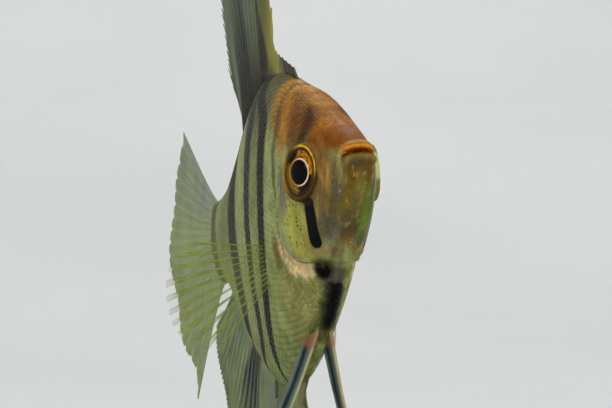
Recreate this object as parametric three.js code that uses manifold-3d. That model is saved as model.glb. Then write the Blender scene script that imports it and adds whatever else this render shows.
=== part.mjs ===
// A freshwater angelfish (Pterophyllum scalare) as a life-size display model, hovering nose-up on a
// bent rod over an oval base. Millimetres, +Z up, the fish faces +X, its left side is +Y, and the
// origin is the middle of the base's underside.
//
// The fish is drawn in shares of its body length, snout to tail root: a station runs from 0 at the
// snout to 1 at the root of the tail fin, a height is measured from the body's level line, a little
// below the eyes, and a side is measured from the midplane, positive to the fish's left.
import * as THREE from "three";
import { mergeVertices } from "three/addons/utils/BufferGeometryUtils.js";
import Module from "manifold-3d";

const wasm = await Module();
wasm.setup();

// ---------------------------------------------------------------- driving dimensions
const BODY_LENGTH = 56; // snout to the root of the tail fin
const NOSE_UP = THREE.MathUtils.degToRad(15); // how far the fish is pitched nose-up
const GAP = 0.3; // clearance between touching nodes
const HALF_SPACE = BODY_LENGTH / 4; // more than any half width of the body
const EYE = { station: 0.155, height: 0.06, across: 6.8, depth: 4.8, outer: 0.114 };
const EYE_TURN = THREE.MathUtils.degToRad(13); // how far each eye looks forwards of straight sideways
const ORBIT_RIM = { radius: 0.45, proud: 0.95 }; // the raised skin ring round an eye
const GILL_COVER = { thickness: 1.2, proud: 0.3, apart: 0.028 }; // apart: half the throat between them
const MEMBRANE = 0.5; // thickness of a fin between its rays
const RAY_ROOT = 1.0; // thickness of a fin ray at the body
const RAY_TIP = 0.6;
const MEMBRANE_COLUMNS = [0.3, 0.7]; // where the membrane reaches its thickness, between two rays
const NOTCH = 0.035; // how far a fin's edge draws in between two ray tips, as a share of the ray
const ROOT_SINK = 0.03; // how deep a fin starts inside the body before it is trimmed, in body lengths

const BASE = { length: 76, width: 46, height: 7, bevel: 1.2 };
const ROD = { radius: 1.1, bendRadius: 2.4, station: 0.76, side: 0.085, height: -0.1 };
const LOWEST_FIN = 4; // clearance between the lowest fin tip and the base's top

// ---------------------------------------------------------------- materials
const finish = (color, roughness, metalness = 0) =>
  new THREE.MeshStandardMaterial({ color, roughness, metalness });
const SKIN = finish(0x9a9a62, 0.4);
const HEAD_SKIN = finish(0xa8743a, 0.42);
const GILL_SKIN = finish(0x9c9c58, 0.36);
const EYE_GLOSS = finish(0x14110c, 0.08);
const FIN = finish(0x8d9272, 0.5);
const CLEAR_FIN = finish(0xa9ad6a, 0.45);
const PELVIC = finish(0x9fb3b8, 0.4);
const BASE_WOOD = finish(0x2e1f16, 0.45);
const ROD_METAL = finish(0xb9bcbf, 0.3, 0.9);

// ---------------------------------------------------------------- outlines, in body lengths
// [station, height] along the back and the belly
const BACK = [
  [0.0, 0.08], [0.015, 0.096], [0.05, 0.13], [0.1, 0.172], [0.15, 0.212], [0.23, 0.28],
  [0.31, 0.336], [0.4, 0.386], [0.5, 0.405], [0.6, 0.37], [0.7, 0.305], [0.8, 0.243],
  [0.87, 0.208], [0.93, 0.196], [1.0, 0.194],
];
const BELLY = [
  [0.0, 0.034], [0.015, 0.014], [0.05, -0.024], [0.1, -0.08], [0.15, -0.122], [0.2, -0.16],
  [0.26, -0.235], [0.33, -0.308], [0.4, -0.354], [0.5, -0.388], [0.6, -0.377], [0.7, -0.31],
  [0.8, -0.205], [0.87, -0.112], [0.93, -0.047], [1.0, -0.03],
];
// [station, half width] and [station, height of the widest level]
const HALF_WIDTH = [
  [0.0, 0.02], [0.015, 0.034], [0.05, 0.054], [0.1, 0.073], [0.16, 0.087], [0.24, 0.099],
  [0.34, 0.104], [0.46, 0.101], [0.58, 0.089], [0.7, 0.068], [0.8, 0.051], [0.9, 0.036], [1.0, 0.024],
];
const WIDEST_LEVEL = [
  [0.0, 0.058], [0.16, 0.045], [0.34, 0.0], [0.6, -0.01], [0.8, 0.02], [0.9, 0.07], [1.0, 0.082],
];
// [station, exponent]: below 1 the section is boxy, above 1 it narrows to a keel
const KEEL_ABOVE = [
  [0.0, 0.8], [0.1, 0.75], [0.18, 0.62], [0.25, 0.64], [0.3, 0.86], [0.4, 1.05], [0.5, 1.15], [1.0, 1.1],
];
const KEEL_BELOW = [
  [0.0, 0.7], [0.1, 0.6], [0.18, 0.65], [0.235, 1.25], [0.33, 1.4], [0.45, 1.25], [1.0, 1.1],
];

// Where the head ends, from nape to throat, along the rear edge of the gill cover
const HEAD_END = [
  [0.31, 0.45], [0.28, 0.28], [0.262, 0.17], [0.256, 0.1], [0.264, 0.03], [0.285, -0.02],
  [0.292, -0.07], [0.276, -0.113], [0.236, -0.136], [0.188, -0.146], [0.15, -0.24],
];
// The gill cover's front edge, from its upper corner to its lower one; its rear edge is the head's end
const GILL_FRONT = [
  [0.36, 0.095], [0.265, 0.092], [0.238, 0.072], [0.23, 0.03], [0.22, -0.03], [0.204, -0.08],
  [0.186, -0.108], [0.166, -0.13], [0.14, -0.25], [0.36, -0.25],
];
const STALK_START = [[0.9, 0.32], [0.888, 0.16], [0.888, 0.0], [0.9, -0.16]];
// The line between the lower jaw and the head, from in front of the mouth to under the cheek
const JAW_LINE = [
  [-0.04, 0.076], [0.01, 0.072], [0.036, 0.063], [0.056, 0.03], [0.078, -0.02], [0.1, -0.08],
  [0.115, -0.18],
];
// deep, wide: how far the line through a lip runs back and to each side; arc: how far round it runs
const LIPS = { deep: 0.026, wide: 0.034, arc: 1.1 * Math.PI, endShare: 0.5, steps: 16, sides: 9 };
const UPPER_LIP = { front: 0.006, height: 0.0885, drop: 0.014, radius: 0.0125 };
const LOWER_LIP = { front: -0.001, height: 0.054, drop: -0.002, radius: 0.0135 };
const NOSTRIL = { station: 0.078, height: 0.118, radius: 0.011 };

// ---------------------------------------------------------------- fin outlines, in body lengths
// tips: [share of the ray count, station, height, side] of the tips of the rays
// sway: [share of the ray count, how far a ray's middle is pulled to the left]
const DORSAL = {
  rays: 20, rows: 6, from: 0.315, to: 0.885, edge: "back", bow: 0.1,
  sway: [[0.0, 0.0], [0.66, 0.0], [0.84, 0.05], [1.0, 0.03]],
  tips: [
    [0.0, 0.345, 0.386, 0.0], [0.1, 0.4, 0.428, 0.0], [0.17, 0.45, 0.461, 0.002], [0.23, 0.482, 0.492, 0.007],
    [0.28, 0.491, 0.54, 0.013], [0.33, 0.491, 0.6, 0.016], [0.39, 0.5, 0.69, 0.018],
    [0.46, 0.54, 0.83, 0.02], [0.53, 0.66, 1.01, 0.022],
    [0.58, 0.8, 1.12, 0.025], [0.64, 0.84, 0.93, 0.018], [0.72, 0.855, 0.74, 0.01],
    [0.8, 0.85, 0.585, 0.012], [0.88, 0.835, 0.455, 0.03], [0.92, 0.83, 0.39, 0.038],
    [0.96, 0.85, 0.335, 0.04], [1.0, 0.9, 0.255, 0.035],
  ],
};
const ANAL = {
  rays: 18, rows: 6, from: 0.43, to: 0.885, edge: "belly", bow: 0.1, sway: [[0.0, 0.0], [1.0, 0.0]],
  tips: [
    [0.0, 0.475, -0.445, 0.0], [0.1, 0.505, -0.48, 0.0], [0.2, 0.53, -0.54, 0.0],
    [0.3, 0.555, -0.63, 0.0], [0.4, 0.6, -0.79, -0.005], [0.5, 0.7, -0.98, -0.015],
    [0.57, 0.85, -1.12, -0.025], [0.63, 0.9, -0.95, -0.03], [0.71, 0.92, -0.77, -0.035],
    [0.79, 0.935, -0.59, -0.045], [0.87, 0.945, -0.42, -0.05], [0.94, 0.95, -0.28, -0.045],
    [1.0, 0.955, -0.16, -0.035],
  ],
};
const BOW_RISE = 0.4; // a midline fin's rays bow forwards, and by this share outwards
const TAIL = {
  rays: 13, rows: 5, rootLevel: 0.082, halfRoot: 0.096, bow: 0.05,
  tips: [
    [0.0, 1.2, 0.465, -0.01], [0.07, 1.225, 0.39, -0.015], [0.2, 1.29, 0.3, -0.02],
    [0.35, 1.35, 0.2, -0.025], [0.5, 1.37, 0.085, -0.025], [0.65, 1.36, -0.035, -0.02],
    [0.8, 1.33, -0.15, -0.015], [0.93, 1.29, -0.24, -0.005], [1.0, 1.31, -0.32, 0.0],
  ],
};
// On the paired fins, drawn for either side, the side is the distance from the midplane.
const PECTORAL = {
  rays: 10, rows: 5, rootTop: [0.375, -0.065], rootBottom: [0.393, -0.125], bow: 0.06,
  leftFold: THREE.MathUtils.degToRad(28), // the left fin is folded back, the right one is spread
  tips: [
    [0.0, 0.6, 0.0, 0.235], [0.2, 0.65, -0.06, 0.265], [0.4, 0.665, -0.135, 0.28],
    [0.6, 0.635, -0.205, 0.275], [0.8, 0.58, -0.265, 0.25], [1.0, 0.51, -0.3, 0.205],
  ],
};
const PELVIC_FIN = {
  rays: 4, rows: 10, rootChord: 0.05, tipChord: 0.02,
  taper: 0.16, // how much higher the rear rays end
  lean: { back: 0.85, up: 0.35, right: 0.25 }, // how the chord lies, from its front to its rear edge
  path: [
    [0.312, -0.268, 0.02], [0.376, -0.4, 0.052], [0.46, -0.55, 0.1], [0.56, -0.7, 0.13],
    [0.675, -0.85, 0.136], [0.8, -0.98, 0.125],
  ],
};

// ---------------------------------------------------------------- helpers
/** A smooth function through [x, y] points, with no overshoot between them. */
function smooth(points) {
  const slopes = points.map((p, i) => {
    if (i === 0 || i === points.length - 1) {
      const [a, b] = i === 0 ? [p, points[1]] : [points[i - 1], p];
      return (b[1] - a[1]) / (b[0] - a[0]);
    }
    const before = (p[1] - points[i - 1][1]) / (p[0] - points[i - 1][0]);
    const after = (points[i + 1][1] - p[1]) / (points[i + 1][0] - p[0]);
    return before * after <= 0 ? 0 : (2 * before * after) / (before + after);
  });
  return (x) => {
    let i = 0;
    while (i < points.length - 2 && x > points[i + 1][0]) i += 1;
    const [x0, y0] = points[i];
    const [x1, y1] = points[i + 1];
    const h = x1 - x0;
    const t = THREE.MathUtils.clamp((x - x0) / h, 0, 1);
    const a = (1 + 2 * t) * (1 - t) ** 2;
    const b = t * (1 - t) ** 2;
    const c = t * t * (3 - 2 * t);
    const d = t * t * (t - 1);
    return a * y0 + b * h * slopes[i] + c * y1 + d * h * slopes[i + 1];
  };
}

/** The point at a station, height and side, in millimetres, with the fish's middle at the origin. */
const place = (station, height, side = 0) =>
  new THREE.Vector3(0.5 - station, side, height).multiplyScalar(BODY_LENGTH);

/** A three.js geometry as a manifold solid. */
function solid(geometry) {
  const bare = geometry.clone();
  bare.deleteAttribute("normal");
  bare.deleteAttribute("uv");
  const merged = mergeVertices(bare, 1e-4);
  return new wasm.Manifold(
    new wasm.Mesh({
      numProp: 3,
      vertProperties: merged.attributes.position.array,
      triVerts: new Uint32Array(merged.index.array),
    }),
  );
}

/** The largest closed body of a manifold solid, as a three.js geometry. */
function geometryOf(shape) {
  const bodies = shape.decompose().sort((a, b) => b.volume() - a.volume());
  const mesh = bodies[0].getMesh();
  return new THREE.BufferGeometry()
    .setAttribute("position", new THREE.BufferAttribute(new Float32Array(mesh.vertProperties), 3))
    .setIndex(new THREE.BufferAttribute(new Uint32Array(mesh.triVerts), 1))
    .toNonIndexed();
}

/** A closed geometry from points and triangles. */
function meshOf(points, triangles) {
  const flat = new Float32Array(points.length * 3);
  points.forEach((p, i) => p.toArray(flat, i * 3));
  return new THREE.BufferGeometry()
    .setAttribute("position", new THREE.BufferAttribute(flat, 3))
    .setIndex(triangles);
}

/** A prism across the fish: a closed outline in stations and heights, between two sides in mm. */
function prism(outline, fromSide, toSide) {
  const shape = new THREE.Shape(
    outline.map(([s, h]) => {
      const p = place(s, h);
      return new THREE.Vector2(p.x, p.z);
    }),
  );
  const bar = new THREE.ExtrudeGeometry(shape, { depth: toSide - fromSide, bevelEnabled: false });
  bar.rotateX(Math.PI / 2);
  bar.translate(0, toSide, 0);
  return solid(bar);
}

/** A smooth line through [station, height] points, moved to its left by some millimetres. */
function smoothLine(line, left = 0) {
  const curve = new THREE.SplineCurve(line.map(([s, h]) => new THREE.Vector2(s, h)));
  const points = curve.getPoints(line.length * 3);
  const last = points.length - 1;
  return points.map((p, i) => {
    const along = points[Math.min(i + 1, last)].clone().sub(points[Math.max(i - 1, 0)]).normalize();
    return [p.x - (along.y * left) / BODY_LENGTH, p.y + (along.x * left) / BODY_LENGTH];
  });
}

/** A thin wall across the whole fish that follows a line of [station, height] points. */
const thinCut = (line) =>
  prism([...smoothLine(line, GAP / 2), ...smoothLine(line, -GAP / 2).reverse()], -HALF_SPACE, HALF_SPACE);

// ---------------------------------------------------------------- the body's own surface
const backLine = smooth(BACK);
const bellyLine = smooth(BELLY);
const halfWidth = smooth(HALF_WIDTH);
const widestLevel = smooth(WIDEST_LEVEL);
const keelAbove = smooth(KEEL_ABOVE);
const keelBelow = smooth(KEEL_BELOW);
const RINGS = 32;
const RING_SIDES = 30;
const RING_SPACING = 1.4; // above 1, the rings lie closer together on the head

/** A point of the body's surface, grown outwards by some millimetres; turn 0 is the back ridge. */
function bodyPoint(station, turn, grow = { side: 0, edge: 0 }) {
  const level = widestLevel(station);
  const up = Math.cos(turn);
  const out = Math.sin(turn);
  const reach = up > 0 ? backLine(station) - level : level - bellyLine(station);
  const keel = up > 0 ? keelAbove(station) : keelBelow(station);
  const side = Math.sign(out) * Math.abs(out) ** keel;
  return place(
    station,
    level + up * (reach + grow.edge / BODY_LENGTH),
    side * (halfWidth(station) + grow.side / BODY_LENGTH),
  );
}

/** The half width of the body at a station and height, in body lengths. */
function sideAt(station, height) {
  const level = widestLevel(station);
  const reach = height > level ? backLine(station) - level : level - bellyLine(station);
  const keel = height > level ? keelAbove(station) : keelBelow(station);
  const up = THREE.MathUtils.clamp(Math.abs(height - level) / reach, 0, 1);
  return halfWidth(station) * Math.sqrt(1 - up * up) ** keel;
}

/** The whole body from snout to tail root as one closed loft, grown by some millimetres. */
function bodyLoft(side = 0, edge = side) {
  const points = [];
  const triangles = [];
  for (let i = 0; i <= RINGS; i += 1) {
    const share = i / RINGS;
    const station = share ** RING_SPACING;
    for (let j = 0; j < RING_SIDES; j += 1) {
      const p = bodyPoint(station, (2 * Math.PI * j) / RING_SIDES, { side, edge });
      if (i === 0) p.x += edge;
      if (i === RINGS) p.x -= edge;
      points.push(p);
    }
  }
  const at = (i, j) => i * RING_SIDES + (j % RING_SIDES);
  for (let i = 0; i < RINGS; i += 1) {
    for (let j = 0; j < RING_SIDES; j += 1) {
      triangles.push(at(i, j), at(i + 1, j + 1), at(i + 1, j));
      triangles.push(at(i, j), at(i, j + 1), at(i + 1, j + 1));
    }
  }
  for (const [ring, step] of [[0, 1], [RINGS, -1]]) {
    const middle = points.length;
    const centre = new THREE.Vector3();
    for (let j = 0; j < RING_SIDES; j += 1) centre.addScaledVector(points[at(ring, j)], 1 / RING_SIDES);
    points.push(centre);
    for (let j = 0; j < RING_SIDES; j += 1) {
      const pair = [at(ring, j + 1), at(ring, j)];
      if (step < 0) pair.reverse();
      triangles.push(middle, ...pair);
    }
  }
  return solid(meshOf(points, triangles));
}

// ---------------------------------------------------------------- fins
/** A quadratic curve from root to tip that bows towards a direction by a share of its length. */
function rayCurve(root, tip, bow, towards) {
  const middle = root.clone().lerp(tip, 0.5);
  middle.addScaledVector(towards, bow * root.distanceTo(tip));
  return new THREE.QuadraticBezierCurve3(root, middle, tip);
}

/**
 * A fin as one closed sheet. Each ray is a ridge on both faces and the membrane between two rays is
 * thinner. Both faces are split into the same triangles.
 */
function finSheet(rays, rows) {
  const columns = [];
  rays.forEach((ray, i) => {
    columns.push({ at: (t) => ray.getPoint(t), half: (t) => THREE.MathUtils.lerp(RAY_ROOT, RAY_TIP, t) / 2 });
    const next = rays[i + 1];
    if (!next) return;
    for (const share of MEMBRANE_COLUMNS) {
      columns.push({
        at: (t) => ray.getPoint(t * (1 - NOTCH)).lerp(next.getPoint(t * (1 - NOTCH)), share),
        half: () => MEMBRANE / 2,
      });
    }
  });
  const grid = columns.map((c) => Array.from({ length: rows + 1 }, (_, r) => c.at(r / rows)));
  const last = columns.length - 1;
  const points = [];
  const index = (c, r, face) => (c * (rows + 1) + r) * 2 + face;
  grid.forEach((column, c) =>
    column.forEach((p, r) => {
      const across = grid[Math.min(c + 1, last)][r].clone().sub(grid[Math.max(c - 1, 0)][r]);
      const along = column[Math.min(r + 1, rows)].clone().sub(column[Math.max(r - 1, 0)]);
      const normal = across.cross(along).normalize();
      const half = columns[c].half(r / rows);
      points.push(p.clone().addScaledVector(normal, half), p.clone().addScaledVector(normal, -half));
    }),
  );
  const triangles = [];
  const quad = (a, b, c, d) => triangles.push(a, b, c, a, c, d);
  for (let c = 0; c < last; c += 1) {
    for (let r = 0; r < rows; r += 1) {
      const corners = [[c, r], [c + 1, r], [c + 1, r + 1], [c, r + 1]];
      const [a, b, d, e] = corners.map(([i, k]) => index(i, k, 0));
      const [f, g, h, k] = corners.map(([i, m]) => index(i, m, 1));
      triangles.push(a, b, d, a, d, e, f, h, g, f, k, h);
    }
  }
  for (let c = 0; c < last; c += 1) {
    quad(index(c, 0, 1), index(c + 1, 0, 1), index(c + 1, 0, 0), index(c, 0, 0));
    quad(index(c + 1, rows, 1), index(c, rows, 1), index(c, rows, 0), index(c + 1, rows, 0));
  }
  for (let r = 0; r < rows; r += 1) {
    quad(index(0, r + 1, 1), index(0, r, 1), index(0, r, 0), index(0, r + 1, 0));
    quad(index(last, r, 1), index(last, r + 1, 1), index(last, r + 1, 0), index(last, r, 0));
  }
  const made = solid(meshOf(points, triangles));
  if (made.volume() > 0) return made;
  const turned = [];
  for (let i = 0; i < triangles.length; i += 3) turned.push(triangles[i], triangles[i + 2], triangles[i + 1]);
  return solid(meshOf(points, turned));
}

/** The columns of a table of tips as smooth functions of the first column. */
const tipsOf = (tips) =>
  tips[0].slice(1).map((_, k) => smooth(tips.map((row) => [row[0], row[k + 1]])));

/** The dorsal or the anal fin: rays rooted along the back or the belly, leaning to the tail. */
function midlineFin(fin) {
  const line = fin.edge === "back" ? backLine : bellyLine;
  const inwards = fin.edge === "back" ? -1 : 1;
  const [tipStation, tipHeight, tipSide] = tipsOf(fin.tips);
  const sway = smooth(fin.sway);
  const forwards = new THREE.Vector3(1, 0, -inwards * BOW_RISE).normalize();
  return Array.from({ length: fin.rays }, (_, i) => {
    const share = i / (fin.rays - 1);
    const station = THREE.MathUtils.lerp(fin.from, fin.to, share);
    const root = place(station, line(station) + inwards * ROOT_SINK);
    const long = Math.abs(tipHeight(share) - line(station));
    const tip = place(tipStation(share), tipHeight(share), tipSide(share));
    const ray = rayCurve(root, tip, fin.bow * Math.min(1, long * 2), forwards);
    ray.v1.add(place(0, 0, sway(share)).sub(place(0, 0)));
    return ray;
  });
}

/** The tail fin: rays that fan out from the end of the tail stalk. */
function tailFin() {
  const [tipStation, tipHeight, tipSide] = tipsOf(TAIL.tips);
  return Array.from({ length: TAIL.rays }, (_, i) => {
    const share = i / (TAIL.rays - 1);
    const rise = TAIL.halfRoot * (1 - 2 * share);
    const root = place(1 - ROOT_SINK, TAIL.rootLevel + rise);
    const tip = place(tipStation(share), tipHeight(share), tipSide(share));
    return rayCurve(root, tip, TAIL.bow, new THREE.Vector3(0, 0, -Math.sign(rise)));
  });
}

/** A pectoral fin: a fan of rays from a short root on the shoulder; sign -1 is the right side. */
function pectoralFin(sign) {
  const fold = sign > 0 ? PECTORAL.leftFold : 0;
  const [tipStation, tipHeight, tipSide] = tipsOf(PECTORAL.tips);
  return Array.from({ length: PECTORAL.rays }, (_, i) => {
    const share = i / (PECTORAL.rays - 1);
    const station = THREE.MathUtils.lerp(PECTORAL.rootTop[0], PECTORAL.rootBottom[0], share);
    const height = THREE.MathUtils.lerp(PECTORAL.rootTop[1], PECTORAL.rootBottom[1], share);
    const root = place(station, height, sign * (sideAt(station, height) - ROOT_SINK));
    const reach = place(tipStation(share), tipHeight(share), sign * tipSide(share)).sub(root);
    const tip = reach.applyAxisAngle(new THREE.Vector3(0, 0, 1), sign * fold).add(root);
    return rayCurve(root, tip, PECTORAL.bow, new THREE.Vector3(0, sign, 0));
  });
}

/** A pelvic fin: a long narrow strap whose rays follow one path; sign -1 is the right side. */
function pelvicFin(sign) {
  const { rootChord, tipChord, lean } = PELVIC_FIN;
  return Array.from({ length: PELVIC_FIN.rays }, (_, i) => {
    const share = i / (PELVIC_FIN.rays - 1);
    const points = PELVIC_FIN.path.map(([s, h, side], k, all) => {
      const down = k / (all.length - 1);
      const chord = share * THREE.MathUtils.lerp(rootChord, tipChord, Math.sqrt(down));
      const shorter = 1 - PELVIC_FIN.taper * share * down;
      const height = all[0][1] + (h - all[0][1]) * shorter;
      return place(s + chord * lean.back, height + chord * lean.up, sign * side - chord * lean.right);
    });
    return new THREE.CatmullRomCurve3(points);
  });
}

// ---------------------------------------------------------------- head details
/** A closed tube along a curve whose radius narrows to a share of itself at both ends. */
function taperedTube(curve, radius, endShare, steps, sides) {
  const frames = curve.computeFrenetFrames(steps, false);
  const points = [curve.getPoint(0)];
  for (let i = 0; i <= steps; i += 1) {
    const share = i / steps;
    const wide = radius * (endShare + (1 - endShare) * Math.sin(Math.PI * share) ** 0.5);
    const centre = curve.getPoint(share);
    for (let j = 0; j < sides; j += 1) {
      const turn = (2 * Math.PI * j) / sides;
      points.push(
        centre.clone()
          .addScaledVector(frames.normals[i], wide * Math.cos(turn))
          .addScaledVector(frames.binormals[i], wide * Math.sin(turn)),
      );
    }
  }
  const end = points.push(curve.getPoint(1)) - 1;
  const at = (i, j) => 1 + i * sides + (j % sides);
  const triangles = [];
  for (let j = 0; j < sides; j += 1) {
    triangles.push(0, at(0, j + 1), at(0, j), end, at(steps, j), at(steps, j + 1));
    for (let i = 0; i < steps; i += 1) {
      triangles.push(at(i, j), at(i, j + 1), at(i + 1, j + 1), at(i, j), at(i + 1, j + 1), at(i + 1, j));
    }
  }
  return solid(meshOf(points, triangles));
}

/** One lip: a round bar along the front of a jaw, from one corner of the mouth to the other. */
function lip({ front, height, drop, radius }, grow = 0) {
  const path = new THREE.CatmullRomCurve3(
    Array.from({ length: 9 }, (_, i) => {
      const turn = (i / 8 - 0.5) * LIPS.arc;
      const back = 1 - Math.cos(turn);
      return place(front + LIPS.deep * back, height - drop * back, LIPS.wide * Math.sin(turn));
    }),
  );
  return taperedTube(path, radius * BODY_LENGTH + grow, LIPS.endShare, LIPS.steps, LIPS.sides);
}

/** The middle of an eye's socket opening; sign -1 is the right side. */
function eyeMiddle(sign) {
  const inwards = EYE.outer * BODY_LENGTH - EYE.depth / 2;
  return place(EYE.station, EYE.height).setY(sign * inwards);
}

/** Turns a piece that was made about its middle, lying across the fish, to an eye's own place. */
function seatEye(geometry, sign) {
  const middle = eyeMiddle(sign);
  geometry.rotateZ(-sign * EYE_TURN);
  return geometry.translate(middle.x, middle.y, middle.z);
}

/** An ellipsoid with its short axis across the fish, at a side of the head. */
function eyeBall(sign, grow = 0) {
  const radius = EYE.across / 2 + grow;
  const ball = new THREE.SphereGeometry(radius, 18, 11);
  ball.rotateX(Math.PI / 2);
  ball.scale(1, (EYE.depth / 2 + grow) / radius, 1);
  return solid(seatEye(ball, sign));
}

/** The raised ring of skin that holds an eye. */
function orbitRim(sign) {
  const ring = new THREE.TorusGeometry(EYE.across / 2 + GAP / 2, ORBIT_RIM.radius, 8, 24);
  ring.rotateX(Math.PI / 2);
  ring.translate(0, sign * ORBIT_RIM.proud, 0);
  return solid(seatEye(ring, sign));
}

/** The pit of a nostril. */
function nostril(sign) {
  const radius = NOSTRIL.radius * BODY_LENGTH;
  const pit = new THREE.SphereGeometry(radius, 8, 6);
  const centre = place(NOSTRIL.station, NOSTRIL.height, sign * sideAt(NOSTRIL.station, NOSTRIL.height));
  pit.translate(centre.x, centre.y, centre.z);
  return solid(pit);
}

// ---------------------------------------------------------------- body, cut into its nodes
/** A slab along the midplane, some millimetres to each side of it. */
const midSlab = (half) => prism([[-0.1, 0.5], [-0.1, -0.5], [1.1, -0.5], [1.1, 0.5]], -half, half);

const SCRAP = 20; // in cubic mm, more than any sliver that the cuts leave
const gillRegion = prism(smoothLine(GILL_FRONT), -HALF_SPACE, HALF_SPACE);
const raisedCheeks = bodyLoft(GILL_COVER.proud, 0).intersect(gillRegion);
const whole = bodyLoft().add(raisedCheeks);
const parted = whole
  .subtract(thinCut(HEAD_END))
  .subtract(thinCut(STALK_START))
  .decompose()
  .sort((a, b) => b.boundingBox().max[0] - a.boundingBox().max[0]);
const [headBlock, trunkSolid, stalkSolid] = parted.filter((piece) => piece.volume() > SCRAP);

const throat = GILL_COVER.apart * BODY_LENGTH;
const underGills = bodyLoft(-GILL_COVER.thickness, 0).add(midSlab(throat));
const gillBacking = bodyLoft(GAP - GILL_COVER.thickness, 0).add(midSlab(throat + GAP));
const gillRecess = prism(smoothLine(GILL_FRONT, -GAP), -HALF_SPACE, HALF_SPACE).subtract(underGills);
const gillPlates = headBlock.intersect(gillRegion).subtract(gillBacking).decompose();
const gillSide = (sign) =>
  gillPlates
    .filter((piece) => sign * (piece.boundingBox().max[1] + piece.boundingBox().min[1]) > 0)
    .sort((a, b) => b.volume() - a.volume())[0];

let skull = headBlock.add(orbitRim(1)).add(orbitRim(-1)).subtract(gillRecess);
for (const sign of [1, -1]) {
  skull = skull.subtract(eyeBall(sign, GAP)).subtract(nostril(sign));
}
const jaws = skull.subtract(thinCut(JAW_LINE)).decompose().sort((a, b) => b.volume() - a.volume());
const headSolid = jaws[0].add(lip(UPPER_LIP)).subtract(lip(LOWER_LIP, GAP));
const jawSolid = jaws[1].subtract(lip(UPPER_LIP, GAP)).add(lip(LOWER_LIP));

const keepOff = bodyLoft(GAP, GAP);
const trimmed = (rays, rows) => finSheet(rays, rows).subtract(keepOff);

// ---------------------------------------------------------------- the exported group
const fish = new THREE.Group();
/** Adds a named node to a group. */
function node(group, name, geometry, material) {
  const mesh = new THREE.Mesh(geometry, material);
  mesh.name = name;
  group.add(mesh);
  return mesh;
}

node(fish, "head", geometryOf(headSolid), HEAD_SKIN);
node(fish, "lower_jaw", geometryOf(jawSolid), HEAD_SKIN);
node(fish, "trunk", geometryOf(trunkSolid), SKIN);
node(fish, "tail_stalk", geometryOf(stalkSolid), SKIN);
for (const [label, sign] of [["left", 1], ["right", -1]]) {
  node(fish, `eye_${label}`, geometryOf(eyeBall(sign)), EYE_GLOSS);
  node(fish, `gill_cover_${label}`, geometryOf(gillSide(sign)), GILL_SKIN);
  node(fish, `pectoral_fin_${label}`, geometryOf(trimmed(pectoralFin(sign), PECTORAL.rows)), CLEAR_FIN);
  node(fish, `pelvic_fin_${label}`, geometryOf(trimmed(pelvicFin(sign), PELVIC_FIN.rows)), PELVIC);
}
node(fish, "dorsal_fin", geometryOf(trimmed(midlineFin(DORSAL), DORSAL.rows)), FIN);
node(fish, "anal_fin", geometryOf(trimmed(midlineFin(ANAL), ANAL.rows)), FIN);
node(fish, "tail_fin", geometryOf(trimmed(tailFin(), TAIL.rows)), CLEAR_FIN);

// The fish is pitched nose-up and lifted until its lowest fin tip clears the base.
fish.rotation.y = -NOSE_UP;
fish.updateMatrixWorld(true);
const lowest = new THREE.Box3().setFromObject(fish, true).min.z;
fish.position.z = BASE.height + LOWEST_FIN - lowest;
fish.updateMatrixWorld(true);

// ---------------------------------------------------------------- display stand
/** The oval base with a rounded top edge. */
function standBase() {
  const oval = new THREE.Shape().absellipse(
    0, 0, BASE.length / 2 - BASE.bevel, BASE.width / 2 - BASE.bevel, 0, 2 * Math.PI,
  );
  const slab = new THREE.ExtrudeGeometry(oval, {
    depth: BASE.height - 2 * BASE.bevel,
    curveSegments: 40,
    bevelThickness: BASE.bevel,
    bevelSize: BASE.bevel,
    bevelSegments: 3,
  });
  slab.translate(0, 0, BASE.bevel);
  return slab;
}

/** The rod: up from the base beside the anal fin, then bent into the fish's left flank. */
function standRod() {
  const entry = place(ROD.station, ROD.height, 0).applyMatrix4(fish.matrixWorld);
  const side = ROD.side * BODY_LENGTH;
  const foot = new THREE.Vector3(entry.x, side, BASE.height + GAP);
  const bendStart = new THREE.Vector3(entry.x, side, entry.z - ROD.bendRadius);
  const corner = new THREE.Vector3(entry.x, side, entry.z);
  const bendEnd = new THREE.Vector3(entry.x, side - ROD.bendRadius, entry.z);
  const path = new THREE.CurvePath();
  path.add(new THREE.LineCurve3(foot, bendStart));
  path.add(new THREE.QuadraticBezierCurve3(bendStart, corner, bendEnd));
  path.add(new THREE.LineCurve3(bendEnd, new THREE.Vector3(entry.x, 0.2, entry.z)));
  const ring = new THREE.Shape().absarc(0, 0, ROD.radius, 0, 2 * Math.PI);
  const bar = new THREE.ExtrudeGeometry(ring, {
    steps: 24, curveSegments: 8, extrudePath: path, bevelEnabled: false,
  });
  const flesh = geometryOf(keepOff).applyMatrix4(fish.matrixWorld);
  return geometryOf(solid(bar).subtract(solid(flesh)));
}

const stand = new THREE.Group();
node(stand, "stand_base", standBase(), BASE_WOOD);
node(stand, "stand_rod", standRod(), ROD_METAL);

const angelfish = new THREE.Group();
angelfish.add(fish, stand);

export default angelfish;
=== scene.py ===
"""The finished surfaces of a life-size freshwater angelfish on its display stand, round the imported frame.

The fish is drawn in shares of its body length, snout to tail root: a station runs from 0 at the snout
to 1 at the root of the tail fin, a height is measured from the body's level line, a little below the
eyes, and a side from the midplane, positive to the fish's left. Lengths in metres are named as such.
"""
import logging
import math
from collections.abc import Callable
from dataclasses import dataclass
from enum import Enum
from functools import partial, reduce

import bmesh
import bpy
import numpy as np
from mathutils import Matrix, Vector


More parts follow.
